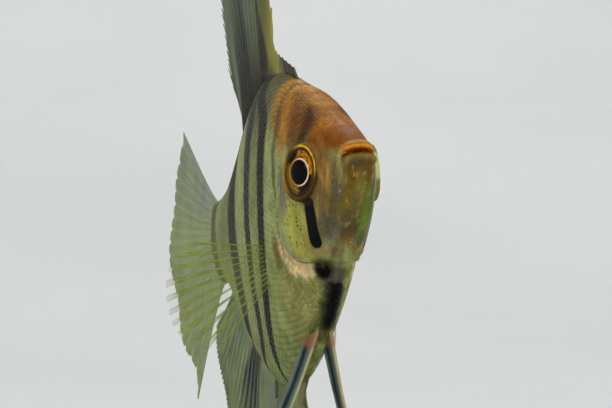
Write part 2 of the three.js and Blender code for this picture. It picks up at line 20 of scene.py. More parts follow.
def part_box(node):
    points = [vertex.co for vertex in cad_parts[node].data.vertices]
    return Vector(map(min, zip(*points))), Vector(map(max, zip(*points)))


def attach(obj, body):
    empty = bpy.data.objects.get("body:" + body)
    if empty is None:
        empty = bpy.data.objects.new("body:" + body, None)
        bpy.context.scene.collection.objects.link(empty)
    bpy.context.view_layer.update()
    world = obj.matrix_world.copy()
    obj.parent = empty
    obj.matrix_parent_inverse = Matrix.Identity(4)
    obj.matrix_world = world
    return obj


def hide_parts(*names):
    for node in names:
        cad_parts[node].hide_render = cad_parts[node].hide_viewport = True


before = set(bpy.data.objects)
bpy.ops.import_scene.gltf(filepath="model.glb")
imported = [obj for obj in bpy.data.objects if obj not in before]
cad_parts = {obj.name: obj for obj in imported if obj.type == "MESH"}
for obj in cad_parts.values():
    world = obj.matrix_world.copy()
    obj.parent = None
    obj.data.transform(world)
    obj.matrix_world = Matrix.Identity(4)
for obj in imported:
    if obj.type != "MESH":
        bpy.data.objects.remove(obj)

log = logging.getLogger("angelfish")

MM = 0.001
BODY_LENGTH = 0.056  # metres from the snout to the root of the tail fin
NOSE_UP = math.radians(15.0)  # how far the fish is pitched nose-up
EYE_PLACE = (0.155, 0.06)  # station and height of both eyes
SINK = 0.03  # how deep a fin starts inside the body
LABELS = {1: "left", -1: "right"}  # the fish's sides, by the sign of Y

Array = np.ndarray
BMesh = bmesh.types.BMesh
BMVert = bmesh.types.BMVert
Material = bpy.types.Material
Mesh = bpy.types.Mesh
Object = bpy.types.Object
Pair = tuple[float, float]
Points = tuple[tuple[float, ...], ...]
Triple = tuple[float, float, float]
Sheet = Callable[[Array, Array], Array]  # a fin's points, by place across and along it


# -- the fish's own form
@dataclass(frozen=True)
class Profile:
    """A smooth line through (x, y) points that never overshoots them."""

    points: Points

    def __call__(self, x: Array | float) -> Array:
        """The line's value at x, held level past its two ends."""
        xs, ys = np.array(self.points, float).T
        rise = np.diff(ys) / np.diff(xs)
        slope = np.r_[rise[0], np.zeros(len(xs) - 2), rise[-1]]
        before, after = rise[:-1], rise[1:]
        same_way = before * after > 0
        slope[1:-1][same_way] = (2 * before * after)[same_way] / (before + after)[same_way]
        x = np.clip(x, xs[0], xs[-1])
        i = np.clip(np.searchsorted(xs, x, side="right") - 1, 0, len(xs) - 2)
        gap = xs[i + 1] - xs[i]
        t = (x - xs[i]) / gap
        return (
            (1 + 2 * t) * (1 - t) ** 2 * ys[i]
            + t * (1 - t) ** 2 * gap * slope[i]
            + t * t * (3 - 2 * t) * ys[i + 1]
            + t * t * (t - 1) * gap * slope[i + 1]
        )


def ease(low: float, high: float, x: Array) -> Array:
    """0 where x is at or before low, 1 at or past high, and a smooth step between them."""
    t = np.clip((x - low) / (high - low), 0, 1)
    return t * t * (3 - 2 * t)


def bell(x: Array, middle: float, width: float) -> Array:
    """A hump of height 1 round a middle."""
    return np.exp(-(((x - middle) / width) ** 2))


def unit(ways: Array) -> Array:
    """Rows of vectors made a unit long."""
    return ways / np.maximum(np.linalg.norm(ways, axis=1, keepdims=True), 1e-12)


BACK = Profile((
    (0.0, 0.08), (0.015, 0.096), (0.05, 0.13), (0.1, 0.172), (0.15, 0.212), (0.23, 0.28),
    (0.31, 0.336), (0.4, 0.386), (0.5, 0.405), (0.6, 0.37), (0.7, 0.305), (0.8, 0.243),
    (0.87, 0.208), (0.93, 0.196), (1.0, 0.194),
))
BELLY = Profile((
    (0.0, 0.034), (0.015, 0.014), (0.05, -0.024), (0.1, -0.08), (0.15, -0.122), (0.2, -0.16),
    (0.26, -0.235), (0.33, -0.308), (0.4, -0.354), (0.5, -0.388), (0.6, -0.377), (0.7, -0.31),
    (0.8, -0.205), (0.87, -0.112), (0.93, -0.047), (1.0, -0.03),
))
HALF_WIDTH = Profile((
    (0.0, 0.02), (0.015, 0.034), (0.05, 0.054), (0.1, 0.073), (0.16, 0.087), (0.24, 0.099),
    (0.34, 0.104), (0.46, 0.101), (0.58, 0.089), (0.7, 0.068), (0.8, 0.051), (0.9, 0.036), (1.0, 0.024),
))
WIDEST_LEVEL = Profile((
    (0.0, 0.058), (0.16, 0.045), (0.34, 0.0), (0.6, -0.01), (0.8, 0.02), (0.9, 0.07), (1.0, 0.082),
))
KEEL_ABOVE = Profile((
    (0.0, 0.8), (0.1, 0.75), (0.18, 0.62), (0.25, 0.64), (0.3, 0.86), (0.4, 1.05), (0.5, 1.15), (1.0, 1.1),
))
KEEL_BELOW = Profile((
    (0.0, 0.7), (0.1, 0.6), (0.18, 0.65), (0.235, 1.25), (0.33, 1.4), (0.45, 1.25), (1.0, 1.1),
))
# Lines on the head's surface, as stations and heights
GILL_EDGE = (  # the gill cover's rear edge, from its upper corner to the throat
    (0.28, 0.28), (0.262, 0.17), (0.256, 0.1), (0.264, 0.03), (0.285, -0.02), (0.292, -0.07),
    (0.276, -0.113), (0.236, -0.136), (0.188, -0.146), (0.15, -0.24),
)
CHEEK_BAR = (
    (0.146, 0.03), (0.148, -0.008), (0.15, -0.032), (0.157, -0.062), (0.1635, -0.086), (0.168, -0.1),
)
GILL_BAND = (  # the narrow plate below the cheek, from its rear corner up to the jaw
    (0.2, -0.078), (0.202, -0.1), (0.196, -0.114), (0.183, -0.124), (0.165, -0.124), (0.149, -0.116),
    (0.13, -0.1), (0.114, -0.087), (0.1, -0.074), (0.088, -0.056), (0.08, -0.038),
)
JAW_FOLD = (
    (0.027, 0.064), (0.043, 0.052), (0.055, 0.026), (0.07, -0.003), (0.083, -0.026), (0.096, -0.05),
    (0.112, -0.072),
)
FAR = 12.0  # millimetres; the fields of the head's lines end here


@dataclass(frozen=True)
class FishForm:
    """Where the fish's stations, heights and sides lie in the row frame."""

    lift: float  # metres from the floor to the level line, at the fish's middle

    @classmethod
    def from_frame(cls) -> "FishForm":
        """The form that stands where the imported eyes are."""
        low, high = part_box("eye_left")
        station, height = EYE_PLACE
        ahead, up = (0.5 - station) * BODY_LENGTH, height * BODY_LENGTH
        return cls((low.z + high.z) / 2 - ahead * math.sin(NOSE_UP) - up * math.cos(NOSE_UP))

    def place(self, station: Array, height: Array, side: Array) -> Array:
        """Points of the row frame, in metres.

        Args:
            station: Stations along the body.
            height: Heights above the level line.
            side: Sides from the midplane.

        Returns:
            An array of points, one for each station.
        """
        station, height, side = np.broadcast_arrays(station, height, side)
        ahead, up = (0.5 - station) * BODY_LENGTH, height * BODY_LENGTH
        x = ahead * math.cos(NOSE_UP) - up * math.sin(NOSE_UP)
        z = ahead * math.sin(NOSE_UP) + up * math.cos(NOSE_UP) + self.lift
        return np.stack([x, side * BODY_LENGTH, z], -1)

    def locate(self, points: Array) -> tuple[Array, Array, Array]:
        """Stations, heights and sides of points of the row frame."""
        x, z = points[..., 0], points[..., 2] - self.lift
        ahead = x * math.cos(NOSE_UP) + z * math.sin(NOSE_UP)
        up = -x * math.sin(NOSE_UP) + z * math.cos(NOSE_UP)
        return 0.5 - ahead / BODY_LENGTH, up / BODY_LENGTH, points[..., 1] / BODY_LENGTH

    def skin_point(self, station: Array, turn: Array) -> Array:
        """Points of the body's surface; a turn of 0 is the back's ridge and half a turn is the belly's."""
        level = WIDEST_LEVEL(station)
        up, out = np.cos(turn), np.sin(turn)
        reach = np.where(up > 0, BACK(station) - level, level - BELLY(station))
        keel = np.where(up > 0, KEEL_ABOVE(station), KEEL_BELOW(station))
        side = np.sign(out) * np.abs(out) ** keel * HALF_WIDTH(station)
        return self.place(station, level + up * reach, side)

    def side_at(self, station: Array, height: Array) -> Array:
        """The half width of the body at stations and heights."""
        level = WIDEST_LEVEL(station)
        above = height > level
        reach = np.where(above, BACK(station) - level, level - BELLY(station))
        keel = np.where(above, KEEL_ABOVE(station), KEEL_BELOW(station))
        up = np.clip(np.abs(height - level) / reach, 0, 1)
        return HALF_WIDTH(station) * np.sqrt(1 - up * up) ** keel

    def way(self, station: float, height: float) -> Array:
        """A way along the body and up it, in metres."""
        return self.place(station, height, 0.0) - self.place(0.0, 0.0, 0.0)


def smooth_line(points: Points, steps: int = 6) -> Array:
    """A smooth line through points of any size, with some steps between each two."""
    known = np.array(points, float)
    index = np.arange(len(known))
    fine = np.linspace(0, len(known) - 1, (len(known) - 1) * steps + 1)
    columns = [Profile(tuple(zip(index, column, strict=True)))(fine) for column in known.T]
    return np.stack(columns, -1)


def line_field(places: Array, line: Array) -> Array:
    """How far places lie from a line, in millimetres; positive is to its left, seen from the right side.

    Args:
        places: Rows of station, height and side.
        line: The line's points as such rows, in order.

    Returns:
        The distances to the nearest point of the line, with the side that they are on as their sign.
    """
    best = np.full(len(places), np.inf)
    signed = np.zeros(len(places))
    for start, end in zip(line[:-1], line[1:], strict=True):
        along, away = end - start, places - start
        share = np.clip(away @ along / (along @ along), 0, 1)
        distance = np.linalg.norm(away - share[:, None] * along, axis=1)
        left = along[0] * away[:, 1] - along[1] * away[:, 0]
        closer = distance < best
        signed[closer] = (np.where(left < 0, -1, 1) * distance)[closer]
        best = np.minimum(best, distance)
    return np.clip(signed * BODY_LENGTH / MM, -FAR, FAR)


def surface_line(form: FishForm, points: Points) -> Array:
    """A smooth line on the body's surface, as rows of station, height and side."""
    line = smooth_line(points)
    return np.column_stack([line, form.side_at(line[:, 0], line[:, 1])])


# -- mesh helpers
def coordinates(mesh: Mesh) -> Array:
    """A mesh's points as an array of rows."""
    flat = np.empty(len(mesh.vertices) * 3, np.float32)
    mesh.vertices.foreach_get("co", flat)
    return flat.reshape(-1, 3).astype(float)


def set_coordinates(mesh: Mesh, points: Array) -> None:
    """Moves a mesh's points to the rows of an array."""
    mesh.vertices.foreach_set("co", np.ascontiguousarray(points, np.float32).ravel())
    mesh.update()


def point_attribute(mesh: Mesh, name: str, values: Array) -> None:
    """Stores one number for each point of a mesh."""
    attribute = mesh.attributes.new(name, "FLOAT", "POINT")
    attribute.data.foreach_set("value", np.ascontiguousarray(values, np.float32))


def linked(name: str, data: bpy.types.ID) -> Object:
    """A new object of the scene with the given data."""
    made = bpy.data.objects.new(name, data)
    bpy.context.scene.collection.objects.link(made)
    return made


def as_object(name: str, bm: BMesh, smooth: bool = True) -> Object:
    """Turns a bmesh into an object of the scene, with its normals outwards.

    Args:
        name: The object's name.
        bm: The bmesh, which is freed.
        smooth: Whether the faces are shaded smooth.

    Returns:
        The new object, at the origin.
    """
    bmesh.ops.recalc_face_normals(bm, faces=bm.faces)
    for face in bm.faces:
        face.smooth = smooth
    mesh = bpy.data.meshes.new(name)
    bm.to_mesh(mesh)
    bm.free()
    return linked(name, mesh)


def settle(piece: Object) -> None:
    """Makes the result of a piece's modifiers its own mesh."""
    graph = bpy.context.evaluated_depsgraph_get()
    mesh = bpy.data.meshes.new_from_object(piece.evaluated_get(graph))
    piece.modifiers.clear()
    old = piece.data
    piece.data = mesh
    bpy.data.meshes.remove(old)


def deliver(
    piece: Object, material: Material, nodes: tuple[str, ...] = ()
) -> Object:
    """Dresses a piece, lets it ride with the model, hides the parts that it stands for and logs its size."""
    piece.data.materials.clear()
    piece.data.materials.append(material)
    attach(piece, "root")
    if nodes:
        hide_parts(*nodes)
    log.info("%s: %d faces, %s", piece.name, len(piece.data.polygons), material.name)
    return piece


def path_frames(path: Array) -> list[Matrix]:
    """A frame at each point of a path, its Z along the path, turning as little as it can."""
    points = [Vector(p) for p in path]
    last = len(points) - 1
    ways = [(points[min(i + 1, last)] - points[max(i - 1, 0)]).normalized() for i in range(last + 1)]
    turn = ways[0].to_track_quat("Z", "Y")
    frames = []
    for i, way in enumerate(ways):
        if i:
            turn = ways[i - 1].rotation_difference(way) @ turn
        frames.append(Matrix.Translation(points[i]) @ turn.to_matrix().to_4x4())
    return frames


def sweep(bm: BMesh, path: Array, radii: Array, sides: int) -> None:
    """Adds a closed round bar along a path, by extruding a circle from point to point.

    Args:
        bm: The bmesh that the bar is added to.
        path: The points of its middle line, in metres.
        radii: Its radius at each point, in metres.
        sides: The number of its sides.
    """
    steps = [
        matrix @ Matrix.Diagonal((radius, radius, radius, 1))
        for matrix, radius in zip(path_frames(path), radii, strict=True)
    ]
    ring = bmesh.ops.create_circle(bm, segments=sides, radius=1, matrix=steps[0])["verts"]
    edges = list(dict.fromkeys(edge for vert in ring for edge in vert.link_edges))
    bmesh.ops.edgeloop_fill(bm, edges=edges)
    for before, after in zip(steps[:-1], steps[1:], strict=True):
        grown = bmesh.ops.extrude_edge_only(bm, edges=edges)["geom"]
        ring = [g for g in grown if isinstance(g, BMVert)]
        edges = [g for g in grown if isinstance(g, bmesh.types.BMEdge)]
        bmesh.ops.transform(bm, matrix=after @ before.inverted(), verts=ring)
    bmesh.ops.edgeloop_fill(bm, edges=edges)


def spin(bm: BMesh, section: list, steps: int) -> None:
    """Spins the verts and edges of a section once round Z."""
    bmesh.ops.spin(
        bm, geom=section, cent=(0, 0, 0), axis=(0, 0, 1), angle=2 * math.pi, steps=steps, use_merge=True,
    )


def lathe(bm: BMesh, profile: Array, sides: int, seat: Matrix) -> None:
    """Adds a solid of revolution: a profile of (radius, height) points spun about Z.

    Args:
        bm: The bmesh that the solid is added to.
        profile: The points from one end of the axis to the other, in metres.
        sides: The number of steps of the spin.
        seat: Where the turned solid goes.
    """
    before = set(bm.verts)
    verts = [bm.verts.new((radius, 0, height)) for radius, height in profile]
    edges = [bm.edges.new(pair) for pair in zip(verts[:-1], verts[1:], strict=True)]
    spin(bm, verts + edges, sides)
    bmesh.ops.remove_doubles(bm, verts=[vert for vert in bm.verts if vert not in before], dist=1e-7)
    bmesh.ops.transform(bm, matrix=seat, verts=[vert for vert in bm.verts if vert not in before])


def ellipsoid(bm: BMesh, seat: Matrix, radii: Triple) -> None:
    """Adds a closed ellipsoid."""
    scaled = seat @ Matrix.Diagonal((*radii, 1))
    bmesh.ops.create_uvsphere(bm, u_segments=32, v_segments=20, radius=1, matrix=scaled)


def doubled(bm: BMesh) -> list[BMVert]:
    """Walls a bmesh's open faces to a second sheet of them, and gives that sheet's verts."""
    grown = bmesh.ops.extrude_face_region(bm, geom=list(bm.faces), use_keep_orig=True)["geom"]
    return [g for g in grown if isinstance(g, BMVert)]


def closed_grid(bm: BMesh, columns: int, rows: int, reach: float) -> tuple[Array, Array, Array]:
    """Fills an empty bmesh with a flat closed sheet of two grids.

    Args:
        bm: The bmesh.
        columns: The grids' faces along X.
        rows: Their faces along Y.
        reach: How far they reach from the origin.

    Returns:
        The X and the Y of its verts, and 1 for those of one grid and -1 for those of the other.
    """
    bmesh.ops.create_grid(bm, x_segments=columns, y_segments=rows, size=reach)
    far = set(doubled(bm))
    spots = np.array([vert.co for vert in bm.verts])
    return spots[:, 0], spots[:, 1], np.array([-1.0 if vert in far else 1.0 for vert in bm.verts])


def move_verts(bm: BMesh, points: Array) -> None:
    """Moves a bmesh's verts to the rows of an array."""
    for vert, point in zip(bm.verts, points, strict=True):
        vert.co = point


# -- colours and node graphs
class Hue(Enum):
    """The colours of the fish, its stand and the studio, as they look in plain light; a few of the fish's are
    painted shade, painted highlights and a painted glow.
    """

    FLANK = (0.61, 0.64, 0.38)
    FLANK_SILVER = (0.66, 0.68, 0.48)
    BACK_OLIVE = (0.36, 0.34, 0.18)
    NAPE = (0.59, 0.38, 0.11)
    NAPE_GOLD = (0.70, 0.51, 0.18)
    SNOUT = (0.51, 0.29, 0.07)
    LIP = (0.80, 0.46, 0.07)
    # the lip's own gold, also a painted highlight on its top and the fold above it
    LIP_GOLD_AND_HIGHLIGHT = (0.84, 0.60, 0.18)
    # the lip's red middle, also painted shade in the groove above the lip
    LIP_RED_AND_GROOVE_SHADE = (0.66, 0.30, 0.05)
    # painted shade: the dark of the mouth's gap, the crevice round each eye and the unlit side of its
    # surround
    SHADE_BROWN = (0.16, 0.09, 0.04)
    JAW = (0.42, 0.29, 0.06)
    THROAT = (0.46, 0.39, 0.15)
    THROAT_DARK = (0.32, 0.31, 0.20)
    # painted highlight along the throat's left edge
    THROAT_HIGHLIGHT = (0.64, 0.72, 0.48)
    THROAT_OLIVE = (0.50, 0.47, 0.20)
    # painted glow of light through the left side of the throat and breast
    THROAT_GREEN_GLOW = (0.42, 0.58, 0.14)
    THROAT_ORANGE = (0.62, 0.36, 0.10)
    CHEEK_BEIGE = (0.50, 0.42, 0.24)
    # the cheek's own tan, also a painted highlight on the front of the face
    CHEEK_TAN_AND_HIGHLIGHT = (0.82, 0.62, 0.26)
    CHEEK_GREY = (0.40, 0.38, 0.30)
    CHEEK_YELLOW = (0.70, 0.69, 0.32)
    LILAC = (0.46, 0.42, 0.44)
    PEACH = (0.90, 0.79, 0.58)
    SMEAR = (0.42, 0.27, 0.10)
    PLATE = (0.64, 0.50, 0.30)
    BREAST = (0.60, 0.60, 0.35)
    # dark grey-olive: painted shade along the keel and under the gill cover, and the rear body's own grey
    BREAST_GREY_AND_SHADE = (0.30, 0.33, 0.18)
    BREAST_MAUVE = (0.34, 0.31, 0.28)
    BELLY = (0.50, 0.55, 0.31)
    BAR = (0.10, 0.10, 0.05)
    # the brown of the nape's bar, also painted shade in the head's creases
    BAR_BROWN_AND_CREASE_SHADE = (0.22, 0.14, 0.09)
    BAR_UMBER = (0.40, 0.26, 0.15)
    BAR_OLIVE = (0.32, 0.30, 0.20)
    BLACK = (0.05, 0.04, 0.045)
    IRIS_GOLD = (0.86, 0.58, 0.06)
    IRIS_ORANGE = (0.44, 0.26, 0.03)
    IRIS_OLIVE = (0.34, 0.30, 0.10)
    # the eye surround's gold, also its painted highlight
    RIM_GOLD_AND_HIGHLIGHT = (0.98, 0.84, 0.10)
    RIM_OLIVE = (0.30, 0.23, 0.05)
    # painted glint on the far eye's surround
    RIM_GLINT = (0.72, 0.76, 0.46)
    RIM_BROWN = (0.46, 0.26, 0.05)
    PUPIL = (0.02584, 0.02584, 0.03876)
    # painted highlight on the pupil's ring
    PUPIL_RING_HIGHLIGHT = (0.97, 0.88, 0.76)
    FIN_DARK = (0.17, 0.16, 0.10)
    FIN_MUSTARD = (0.62, 0.59, 0.25)
    FIN_OLIVE = (0.42, 0.43, 0.23)
    FIN_GREY = (0.36, 0.42, 0.36)
    FIN_PALE = (0.46, 0.53, 0.44)
    FIN_GREEN = (0.50, 0.57, 0.28)
    FIN_YELLOW = (0.56, 0.60, 0.18)
    PELVIC_SILVER = (0.45, 0.55, 0.52)
    PELVIC_RED = (0.66, 0.46, 0.30)
    PELVIC_TEAL = (0.24, 0.38, 0.38)
    PELVIC_NAVY = (0.06, 0.09, 0.13)
    PELVIC_CREAM = (0.86, 0.80, 0.55)
    WOOD_DARK = (0.16, 0.09, 0.05)
    WOOD_LIGHT = (0.36, 0.21, 0.12)
    STEEL = (0.75, 0.76, 0.77)
    FLOOR = (0.83, 0.84, 0.84)

    @property
    def linear(self) -> tuple[float, float, float, float]:
        """The colour as a shader takes it."""
        return (*(((c + 0.055) / 1.055) ** 2.4 if c > 0.04 else c / 12.92 for c in self.value), 1.0)


Socket = bpy.types.NodeSocket
NodeTree = bpy.types.NodeTree
Value = Socket | Hue | float | tuple[float, ...]


@dataclass
class Graph:
    """Adds nodes to one material or node group, and links them."""

    tree: NodeTree

    def add(self, kind: str, settings: dict[str, object] | None = None, **inputs: Value) -> bpy.types.Node:
        """Adds a node.

        Args:
            kind: The node's type, without its ShaderNode prefix.
            settings: The node's own properties.
            **inputs: Values or sockets for its inputs, by name with _ for a space, or i0, i1, i2 by number.

        Returns:
            The new node.
        """
        node = self.tree.nodes.new("ShaderNode" + kind)
        for name, value in (settings or {}).items():
            setattr(node, name, value)
        for name, value in inputs.items():
            by_number = name[0] == "i" and name[1:].isdigit()
            self.feed(node.inputs[int(name[1:]) if by_number else name.replace("_", " ")], value)
        return node

    def feed(self, socket: Socket, value: Value) -> None:
        """Links an input to the output that it takes its value from, or sets its value."""
        if isinstance(value, bpy.types.NodeSocket):
            self.tree.links.new(value, socket)
        else:
            socket.default_value = value.linear if isinstance(value, Hue) else value

    def where(self) -> Socket:
        """The Object coordinates of the shaded point."""
        return self.add("TexCoord").outputs["Object"]

    def attribute(self, name: str) -> Socket:
        """A number that the mesh carries for each point."""
        return self.add("Attribute", {"attribute_name": name}).outputs["Fac"]

    def group(self, shared: NodeTree) -> bpy.types.bpy_prop_collection:
        """The outputs of a shared node group."""
        return self.add("Group", {"node_tree": shared}).outputs

    def math(self, operation: str, a: Value, b: Value = 0.0, third: Value = 0.0) -> Socket:
        """The result of a Math node."""
        return self.add("Math", {"operation": operation}, i0=a, i1=b, i2=third).outputs[0]

    def times(self, first: Value, *others: Value) -> Value:
        """The product of some numbers."""
        return reduce(partial(self.math, "MULTIPLY"), others, first)

    def apart(self, a: Value, b: Value) -> Socket:
        """How far two numbers are apart."""
        return self.math("ABSOLUTE", self.math("SUBTRACT", a, b))

    def vector(self, operation: str, a: Value, b: Value) -> Socket:
        """The result of a Vector Math node of two vectors."""
        return self.add("VectorMath", {"operation": operation}, i0=a, i1=b).outputs[0]

    def joined(self, x: Value, y: Value, z: Value) -> Socket:
        """Three numbers as one vector."""
        return self.add("CombineXYZ", {}, X=x, Y=y, Z=z).outputs[0]

    def parted(self, vector: Value) -> tuple[Socket, Socket, Socket]:
        """The three numbers of a vector."""
        return tuple(self.add("SeparateXYZ", {}, Vector=vector).outputs)

    def step(self, value: Value, start: float, end: float, low: float = 0.0, high: float = 1.0) -> Socket:
        """A smooth step of a value from low at start to high at end."""
        return self.add(
            "MapRange", {"interpolation_type": "SMOOTHSTEP"}, Value=value,
            From_Min=start, From_Max=end, To_Min=low, To_Max=high,
        ).outputs["Result"]

    def mix(self, share: Value, first: Value, second: Value, blend: str = "MIX") -> Socket:
        """Two colours mixed; the share is the second one's."""
        settings = {"data_type": "RGBA", "blend_type": blend}
        return self.add("Mix", settings, i0=share, i6=first, i7=second).outputs[2]

    def shaded(self, colour: Value, tone: Value) -> Socket:
        """A colour made lighter or darker by a tone about 1."""
        grey = self.add("CombineColor", {}, i0=tone, i1=tone, i2=tone).outputs[0]
        return self.mix(1.0, colour, grey, "MULTIPLY")

    def noise(self, place: Value, scale: float, detail: float = 3.0, stretch: Triple = (1, 1, 1)) -> Socket:
        """A noise between 0 and 1, about 0.5, on places that may be stretched first."""
        stretched = self.add("Mapping", {}, Vector=place, Scale=stretch).outputs[0]
        return self.add("TexNoise", {}, Vector=stretched, Scale=scale, Detail=detail).outputs[0]

    def curve(self, value: Value, points: Points) -> Socket:
        """The height of a smooth curve through points between 0 and 1."""
        node = self.add("FloatCurve", {}, Value=value)
        line = node.mapping.curves[0]
        line.points[0].location = points[0]
        line.points[1].location = points[-1]
        for x, y in points[1:-1]:
            line.points.new(x, y)
        node.mapping.update()
        return node.outputs[0]

    def ramp(self, value: Value, stops: tuple[tuple[float, Hue], ...]) -> Socket:
        """The colour at a place of a ramp, which is given by places with their hues."""
        node = self.add("ValToRGB", {}, Fac=value)
        elements = node.color_ramp.elements
        for place, _ in stops[2:]:
            elements.new(place)
        for element, (place, hue) in zip(elements, stops, strict=True):
            element.position = place
            element.color = hue.linear
        return node.outputs[0]

    def bump(self, height: Value, strength: float, distance: float, under: Socket | None = None) -> Socket:
        """A normal that follows a height; a height of 1 is a distance in metres."""
        node = self.add("Bump", {}, Height=height, Strength=strength, Distance=distance)
        if under:
            self.feed(node.inputs["Normal"], under)
        return node.outputs[0]


class Paint(Graph):
    """The nodes of one material, round its surface shader."""

    def __init__(self, name: str) -> None:
        """Makes the named material with a bare shader."""
        self.material = bpy.data.materials.new(name)
        self.material.use_nodes = True
        super().__init__(self.material.node_tree)
        self.tree.nodes.clear()
        self.shader = self.tree.nodes.new("ShaderNodeBsdfPrincipled")
        output = self.tree.nodes.new("ShaderNodeOutputMaterial")
        self.tree.links.new(self.shader.outputs[0], output.inputs[0])

    def surface(self, **inputs: Value) -> Material:
        """Finishes the material.

        Args:
            **inputs: Values or sockets for the shader's inputs, by name with _ for a space.

        Returns:
            The material.
        """
        for name, value in inputs.items():
            self.feed(self.shader.inputs[name.replace("_", " ")], value)
        return self.material


@dataclass(frozen=True)
class Patch:
    """A soft patch of colour, round a place of the body."""

    hue: Hue
    middle: Triple  # station, height and side
    reach: Triple
    strength: float = 1.0
    core: float = 0.35  # the share of the reach that has the full strength


@dataclass(frozen=True)
class Bar:
    """A dark bar across the body, with its half width along it."""

    hue: Hue
    line: Points  # (height, station) from the belly up
    half_width: Points  # (height, half width)
    softness: float = 0.35
    strength: float = 1.0
    sides: Pair | None = None  # the distances from the midplane with none and all of it


HEIGHT_SPAN = 1.0  # a curve of the markings covers heights from -0.5 to 0.5
WIDTH_SPAN = 0.06  # and half widths up to this

PATCHES = (
    Patch(Hue.FLANK_SILVER, (0.34, 0.05, 0.1), (0.1, 0.18, 0.1), 0.3),
    Patch(Hue.BELLY, (0.5, -0.36, 0), (0.34, 0.17, 0.2), 0.8),
    Patch(Hue.BREAST, (0.29, -0.22, 0.05), (0.13, 0.14, 0.12), 1.0, 0.5),
    # painted shade along the keel, under the breast
    Patch(Hue.BREAST_GREY_AND_SHADE, (0.25, -0.22, 0), (0.1, 0.13, 0.036), 0.85, 0.5),
    Patch(Hue.BREAST_GREY_AND_SHADE, (0.31, -0.29, 0), (0.06, 0.06, 0.06), 0.8, 0.4),
    Patch(Hue.BACK_OLIVE, (0.45, 0.42, 0), (0.16, 0.15, 0.2), 1.0, 0.4),
    Patch(Hue.BACK_OLIVE, (0.42, 0.42, 0), (0.2, 0.32, 0.2), 0.95, 0.5),
    Patch(Hue.BACK_OLIVE, (0.455, 0.12, 0.1), (0.05, 0.22, 0.1), 0.4),
    Patch(Hue.BREAST_GREY_AND_SHADE, (0.82, 0.05, 0), (0.14, 0.3, 0.2), 0.45),
    Patch(Hue.BACK_OLIVE, (0.62, 0.38, 0), (0.2, 0.15, 0.2), 0.9),
    Patch(Hue.BACK_OLIVE, (0.85, 0.24, 0), (0.16, 0.08, 0.2), 0.6),
    Patch(Hue.NAPE, (0.22, 0.27, 0), (0.15, 0.17, 0.2), 1.0, 0.72),
    Patch(Hue.NAPE, (0.1, 0.18, 0), (0.13, 0.1, 0.12), 1.0, 0.6),
    Patch(Hue.NAPE_GOLD, (0.3, 0.3, 0), (0.07, 0.08, 0.12), 0.9),
    Patch(Hue.NAPE_GOLD, (0.25, 0.2, 0.08), (0.035, 0.12, 0.05), 0.75),
    Patch(Hue.NAPE_GOLD, (0.2, 0.25, 0), (0.05, 0.05, 0.05), 0.5),
    Patch(Hue.CHEEK_BEIGE, (0.1, 0.0, 0.07), (0.11, 0.13, 0.06), 1.0, 0.6),
    # painted highlight on the front of the face
    Patch(Hue.CHEEK_TAN_AND_HIGHLIGHT, (0.075, 0.03, 0.063), (0.022, 0.06, 0.02), 0.9, 0.4),
    Patch(Hue.CHEEK_GREY, (0.055, -0.01, 0.046), (0.03, 0.06, 0.016), 0.9, 0.4),
    Patch(Hue.CHEEK_GREY, (0.12, -0.07, 0.05), (0.045, 0.06, 0.03), 0.9, 0.4),
    Patch(Hue.CHEEK_YELLOW, (0.215, -0.05, 0.09), (0.055, 0.12, 0.08), 1.0, 0.6),
    Patch(Hue.LILAC, (0.245, 0.04, 0.1), (0.024, 0.08, 0.06), 0.8),
    Patch(Hue.SNOUT, (0.06, 0.115, 0), (0.1, 0.06, 0.09), 1.0, 0.55),
    Patch(Hue.SNOUT, (0.115, 0.12, 0.07), (0.05, 0.05, 0.05), 0.8, 0.3),
    Patch(Hue.THROAT, (0.06, -0.04, 0), (0.12, 0.12, 0.045), 1.0, 0.7),
    Patch(Hue.THROAT_DARK, (0.09, -0.075, 0), (0.07, 0.05, 0.045), 0.7, 0.4),
    Patch(Hue.JAW, (0.012, 0.035, 0), (0.05, 0.045, 0.055), 1.0, 0.5),
    Patch(Hue.RIM_BROWN, (0.02, 0.108, 0), (0.024, 0.024, 0.05), 0.6, 0.3),
    Patch(Hue.THROAT_ORANGE, (0.132, -0.108, 0.008), (0.03, 0.022, 0.01), 0.7, 0.3),
    Patch(Hue.THROAT_ORANGE, (0.154, -0.123, 0.024), (0.016, 0.014, 0.014), 0.85, 0.3),
    Patch(Hue.SMEAR, (0.335, -0.09, 0.1), (0.026, 0.07, 0.05), 0.75, 0.2),
    Patch(Hue.PEACH, (0.3, -0.09, 0.095), (0.024, 0.055, 0.04), 0.8, 0.4),
    Patch(Hue.PEACH, (0.277, -0.138, 0.078), (0.034, 0.03, 0.04), 0.95, 0.5),
    Patch(Hue.PEACH, (0.245, -0.155, 0.06), (0.032, 0.026, 0.03), 0.95, 0.5),
)
SIDED = (  # patches that are not the same on both sides; the green ones are a painted glow and the pale one a painted highlight on the left
    Patch(Hue.THROAT_OLIVE, (0.04, -0.01, 0.004), (0.06, 0.08, 0.02), 0.9, 0.4),
    Patch(Hue.THROAT_GREEN_GLOW, (0.1, -0.06, 0.03), (0.11, 0.13, 0.017), 0.85, 0.3),
    Patch(Hue.THROAT_GREEN_GLOW, (0.1, -0.05, 0.066), (0.11, 0.13, 0.036), 0.95, 0.4),
    Patch(Hue.THROAT_GREEN_GLOW, (0.2, -0.17, 0.05), (0.06, 0.06, 0.035), 0.8, 0.3),
    Patch(Hue.THROAT_HIGHLIGHT, (0.09, -0.03, 0.068), (0.11, 0.13, 0.03), 0.85, 0.4),
    Patch(Hue.THROAT_DARK, (0.13, -0.115, 0.03), (0.035, 0.03, 0.035), 0.75, 0.3),
)
SPECKLED = Patch(Hue.BLACK, (0.22, -0.05, 0.09), (0.05, 0.1, 0.08), 0.85)  # where the gill cover has speckles
